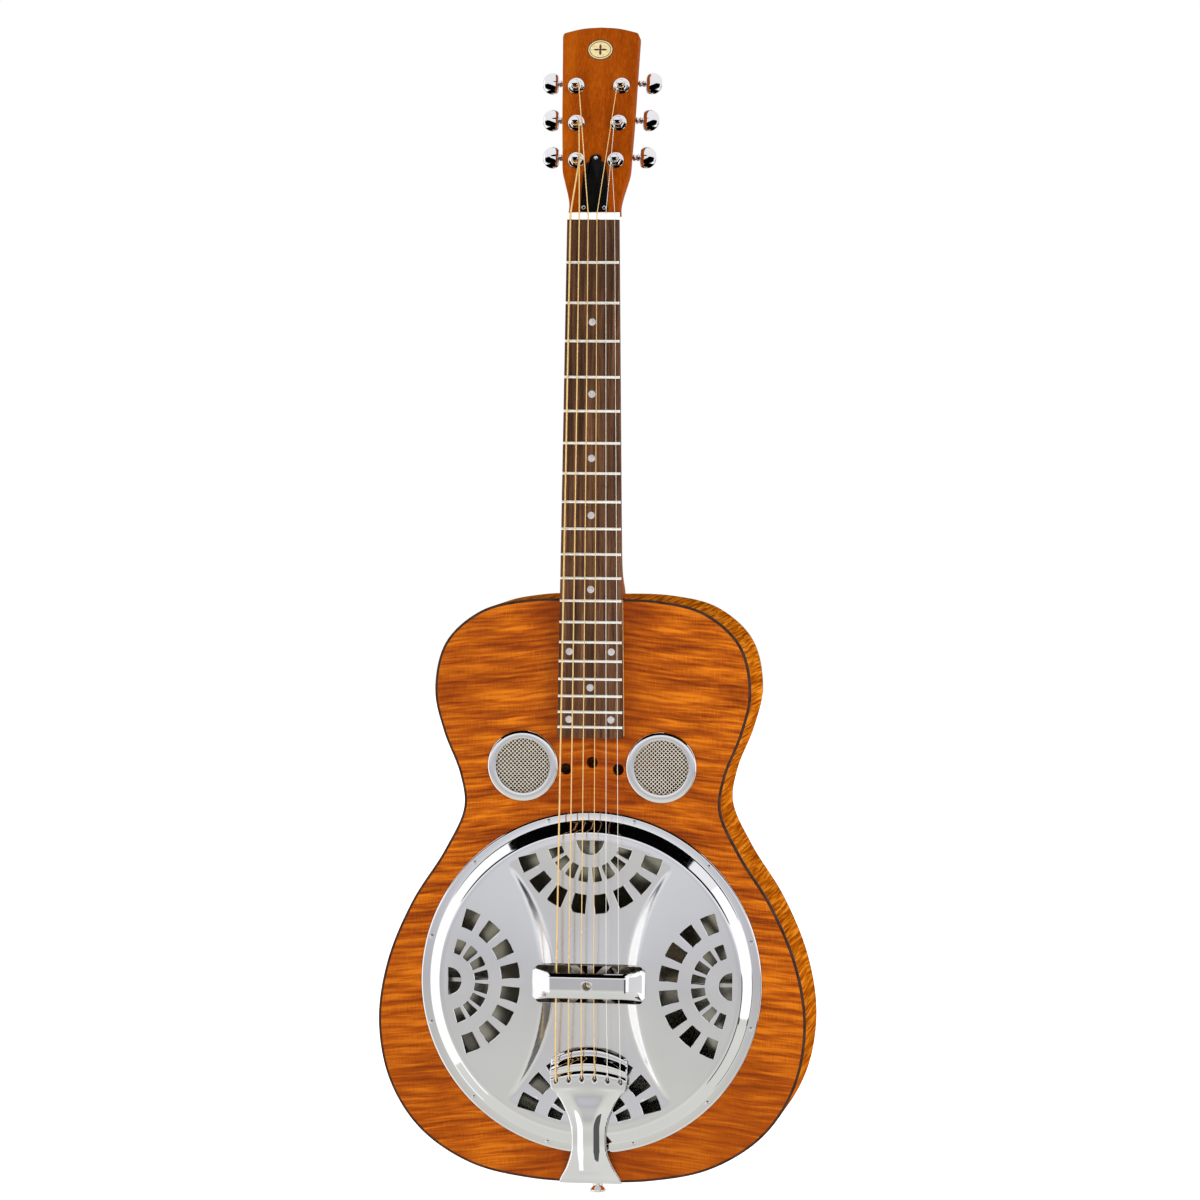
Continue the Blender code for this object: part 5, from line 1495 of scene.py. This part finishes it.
def softbox(name, place, aim, size, radiance, tint=(1.0, 1.0, 1.0)):
    """A rectangular lamp that shiny surfaces don't show."""
    data = bpy.data.lights.new(name, "AREA")
    data.shape = "RECTANGLE"
    data.size, data.size_y = size
    data.energy = radiance * pi * size[0] * size[1]
    data.color = tint
    lamp = bpy.data.objects.new(name, data)
    away = Vector(place) - Vector(aim)
    lamp.matrix_world = Matrix.Translation(place) @ away.to_track_quat("Z", "Y").to_matrix().to_4x4()
    lamp.visible_glossy = False
    lamp.visible_camera = False
    bpy.context.scene.collection.objects.link(lamp)


def build_sky():
    """Plain white to the camera, even light on matt stuff, and a soft studio gradient in metal."""
    world = bpy.data.worlds.new("studio")
    bpy.context.scene.world = world
    world.use_nodes = True
    tree = world.node_tree
    tree.nodes.clear()
    link = tree.links.new
    end = tree.nodes.new("ShaderNodeOutputWorld")
    path = tree.nodes.new("ShaderNodeLightPath")
    place = tree.nodes.new("ShaderNodeTexCoord")
    split = tree.nodes.new("ShaderNodeSeparateXYZ")
    link(place.outputs["Generated"], split.inputs[0])
    rise = tree.nodes.new("ShaderNodeMapRange")
    link(split.outputs[2], rise.inputs[0])
    rise.inputs[1].default_value = -1.0
    rise.inputs[2].default_value = 1.0
    ramp = tree.nodes.new("ShaderNodeValToRGB")
    link(rise.outputs[0], ramp.inputs[0])
    stops = ((0.0, (0.70, 0.70, 0.66)), (0.28, (0.76, 0.76, 0.71)), (0.34, (0.70, 0.695, 0.64)),
             (0.387, (0.64, 0.635, 0.585)), (0.418, (0.56, 0.555, 0.54)), (0.44, (0.50, 0.50, 0.51)),
             (0.458, (0.55, 0.55, 0.58)), (0.493, (0.66, 0.67, 0.70)), (0.53, (0.90, 0.90, 0.91)),
             (1.0, (0.96, 0.96, 0.97)))
    fill_ramp(ramp.color_ramp, stops)

    def backdrop(colour, strength=1.0):
        node = tree.nodes.new("ShaderNodeBackground")
        node.inputs[0].default_value = (*colour, 1.0)
        node.inputs[1].default_value = strength
        return node

    def chosen(ray, otherwise, when):
        node = tree.nodes.new("ShaderNodeMixShader")
        link(path.outputs[ray], node.inputs[0])
        link(otherwise.outputs[0], node.inputs[1])
        link(when.outputs[0], node.inputs[2])
        return node

    mirror = backdrop((1.0, 1.0, 1.0))
    link(ramp.outputs[0], mirror.inputs[0])
    seen = chosen("Is Glossy Ray", backdrop((1.0, 0.99, 0.97), 0.62), mirror)
    seen = chosen("Is Camera Ray", seen, backdrop((1.0, 1.0, 1.0)))
    link(seen.outputs[0], end.inputs[0])


def stage_sheet(name, corners, finish):
    mesh = bpy.data.meshes.new(name)
    mesh.from_pydata(corners, [], [(0, 1, 2, 3)])
    mesh.materials.append(finish)
    made = bpy.data.objects.new(name, mesh)
    bpy.context.scene.collection.objects.link(made)
    return made


# Boards that only shiny things see, each from one corner to the other, with what they send out.
BOARDS = {
    "left_white": ((-1.2, -1.15, -0.62), (-1.2, 0.05, 0.62), 1.2),
    "left_white_high": ((-1.2, -0.60, 0.62), (-1.2, 0.05, 1.7), 1.2),
    "left_white_low": ((-1.2, -1.15, -1.10), (-1.2, -0.30, -0.62), 1.2),
    "right_white": ((1.2, -0.83, -0.26), (1.2, -0.40, 1.1), 1.2),
    "right_white_front": ((1.2, -1.60, 0.10), (1.2, -0.83, 0.62), 1.2),
    "right_pale": ((1.2, -0.40, -0.26), (1.2, -0.26, 0.62), 0.75),
    "right_dark": ((1.2, -1.70, -1.30), (1.2, -0.83, 0.10), 0.1),
    "right_black": ((1.2, -0.83, -0.33), (1.2, -0.50, -0.26), 0.0),
    "above_front": ((-0.40, -1.5, 0.66), (0.38, -0.13, 0.66), 0.0),
    "above_left": ((-0.40, -0.13, 0.66), (-0.05, 0.30, 0.66), 0.0),
    "above_right": ((0.05, -0.13, 0.66), (0.38, 0.30, 0.66), 0.0),
    "before": ((-2.40, -1.5, 0.66), (2.40, -1.5, 1.70), 0.0),
}


def glow(name, radiance, base=0.0, roughness=0.5):
    """A sheet's finish that sends out its own light, or none for black."""
    finish = bpy.data.materials.new(name)
    finish.use_nodes = True
    shader = finish.node_tree.nodes["Principled BSDF"]
    shader.inputs["Base Color"].default_value = (base, base, base, 1.0)
    shader.inputs["Roughness"].default_value = roughness
    shader.inputs["Specular IOR Level"].default_value = 0.0
    shader.inputs["Emission Color"].default_value = (1.0, 1.0, 1.0, 1.0)
    shader.inputs["Emission Strength"].default_value = radiance
    return finish


def build_board(name, low, high, radiance):
    """A board in a plane of x, y or z, to be seen in shiny surfaces and nowhere else."""
    if low[0] == high[0]:
        corners = [low, (low[0], high[1], low[2]), high, (low[0], low[1], high[2])]
    else:
        corners = [low, (high[0], low[1], low[2]), high, (low[0], high[1], high[2])]
    board = stage_sheet(name, corners, glow(name, radiance))
    board.visible_camera = False
    board.visible_diffuse = False
    board.visible_shadow = False
    board.visible_transmission = False


def build_studio():
    build_camera()
    build_sky()
    reach = 6.0
    corners = [(a * reach, b * reach, -0.003) for a, b in ((-1, -1), (1, -1), (1, 1), (-1, 1))]
    floor = stage_sheet("floor", corners, glow("white paper", 0.87, 0.86, 0.9))
    floor.visible_glossy = False
    softbox("key", (2.3, -2.6, 2.1), (0.0, 0.0, 0.5), (1.1, 1.1), 15.0, (1.0, 0.98, 0.95))
    softbox("fill", (-2.4, -3.2, 0.9), (0.0, 0.0, 0.4), (1.8, 1.8), 3.2, (0.98, 0.99, 1.0))
    softbox("rim_right", (3.0, 0.4, 0.9), (0.0, 0.0, 0.5), (1.2, 1.6), 2.4)
    for name, (low, high, radiance) in BOARDS.items():
        build_board(name, low, high, radiance)
    scene = bpy.context.scene
    scene.view_settings.view_transform = "Standard"
    scene.view_settings.look = "None"


# ---------------------------------------------------------------- all of it

find_tuners()
build_body()
build_coverplate()
build_palm_rest()
build_rest_of_resonator()
build_screens()
build_tailpiece()
build_strap_button()
build_neck()
build_fretboard()
build_nut()
build_strings()
for tuner_name, (tuner_x, tuner_s) in TUNERS.items():
    build_tuner(tuner_name, tuner_x, tuner_s)
build_studio()
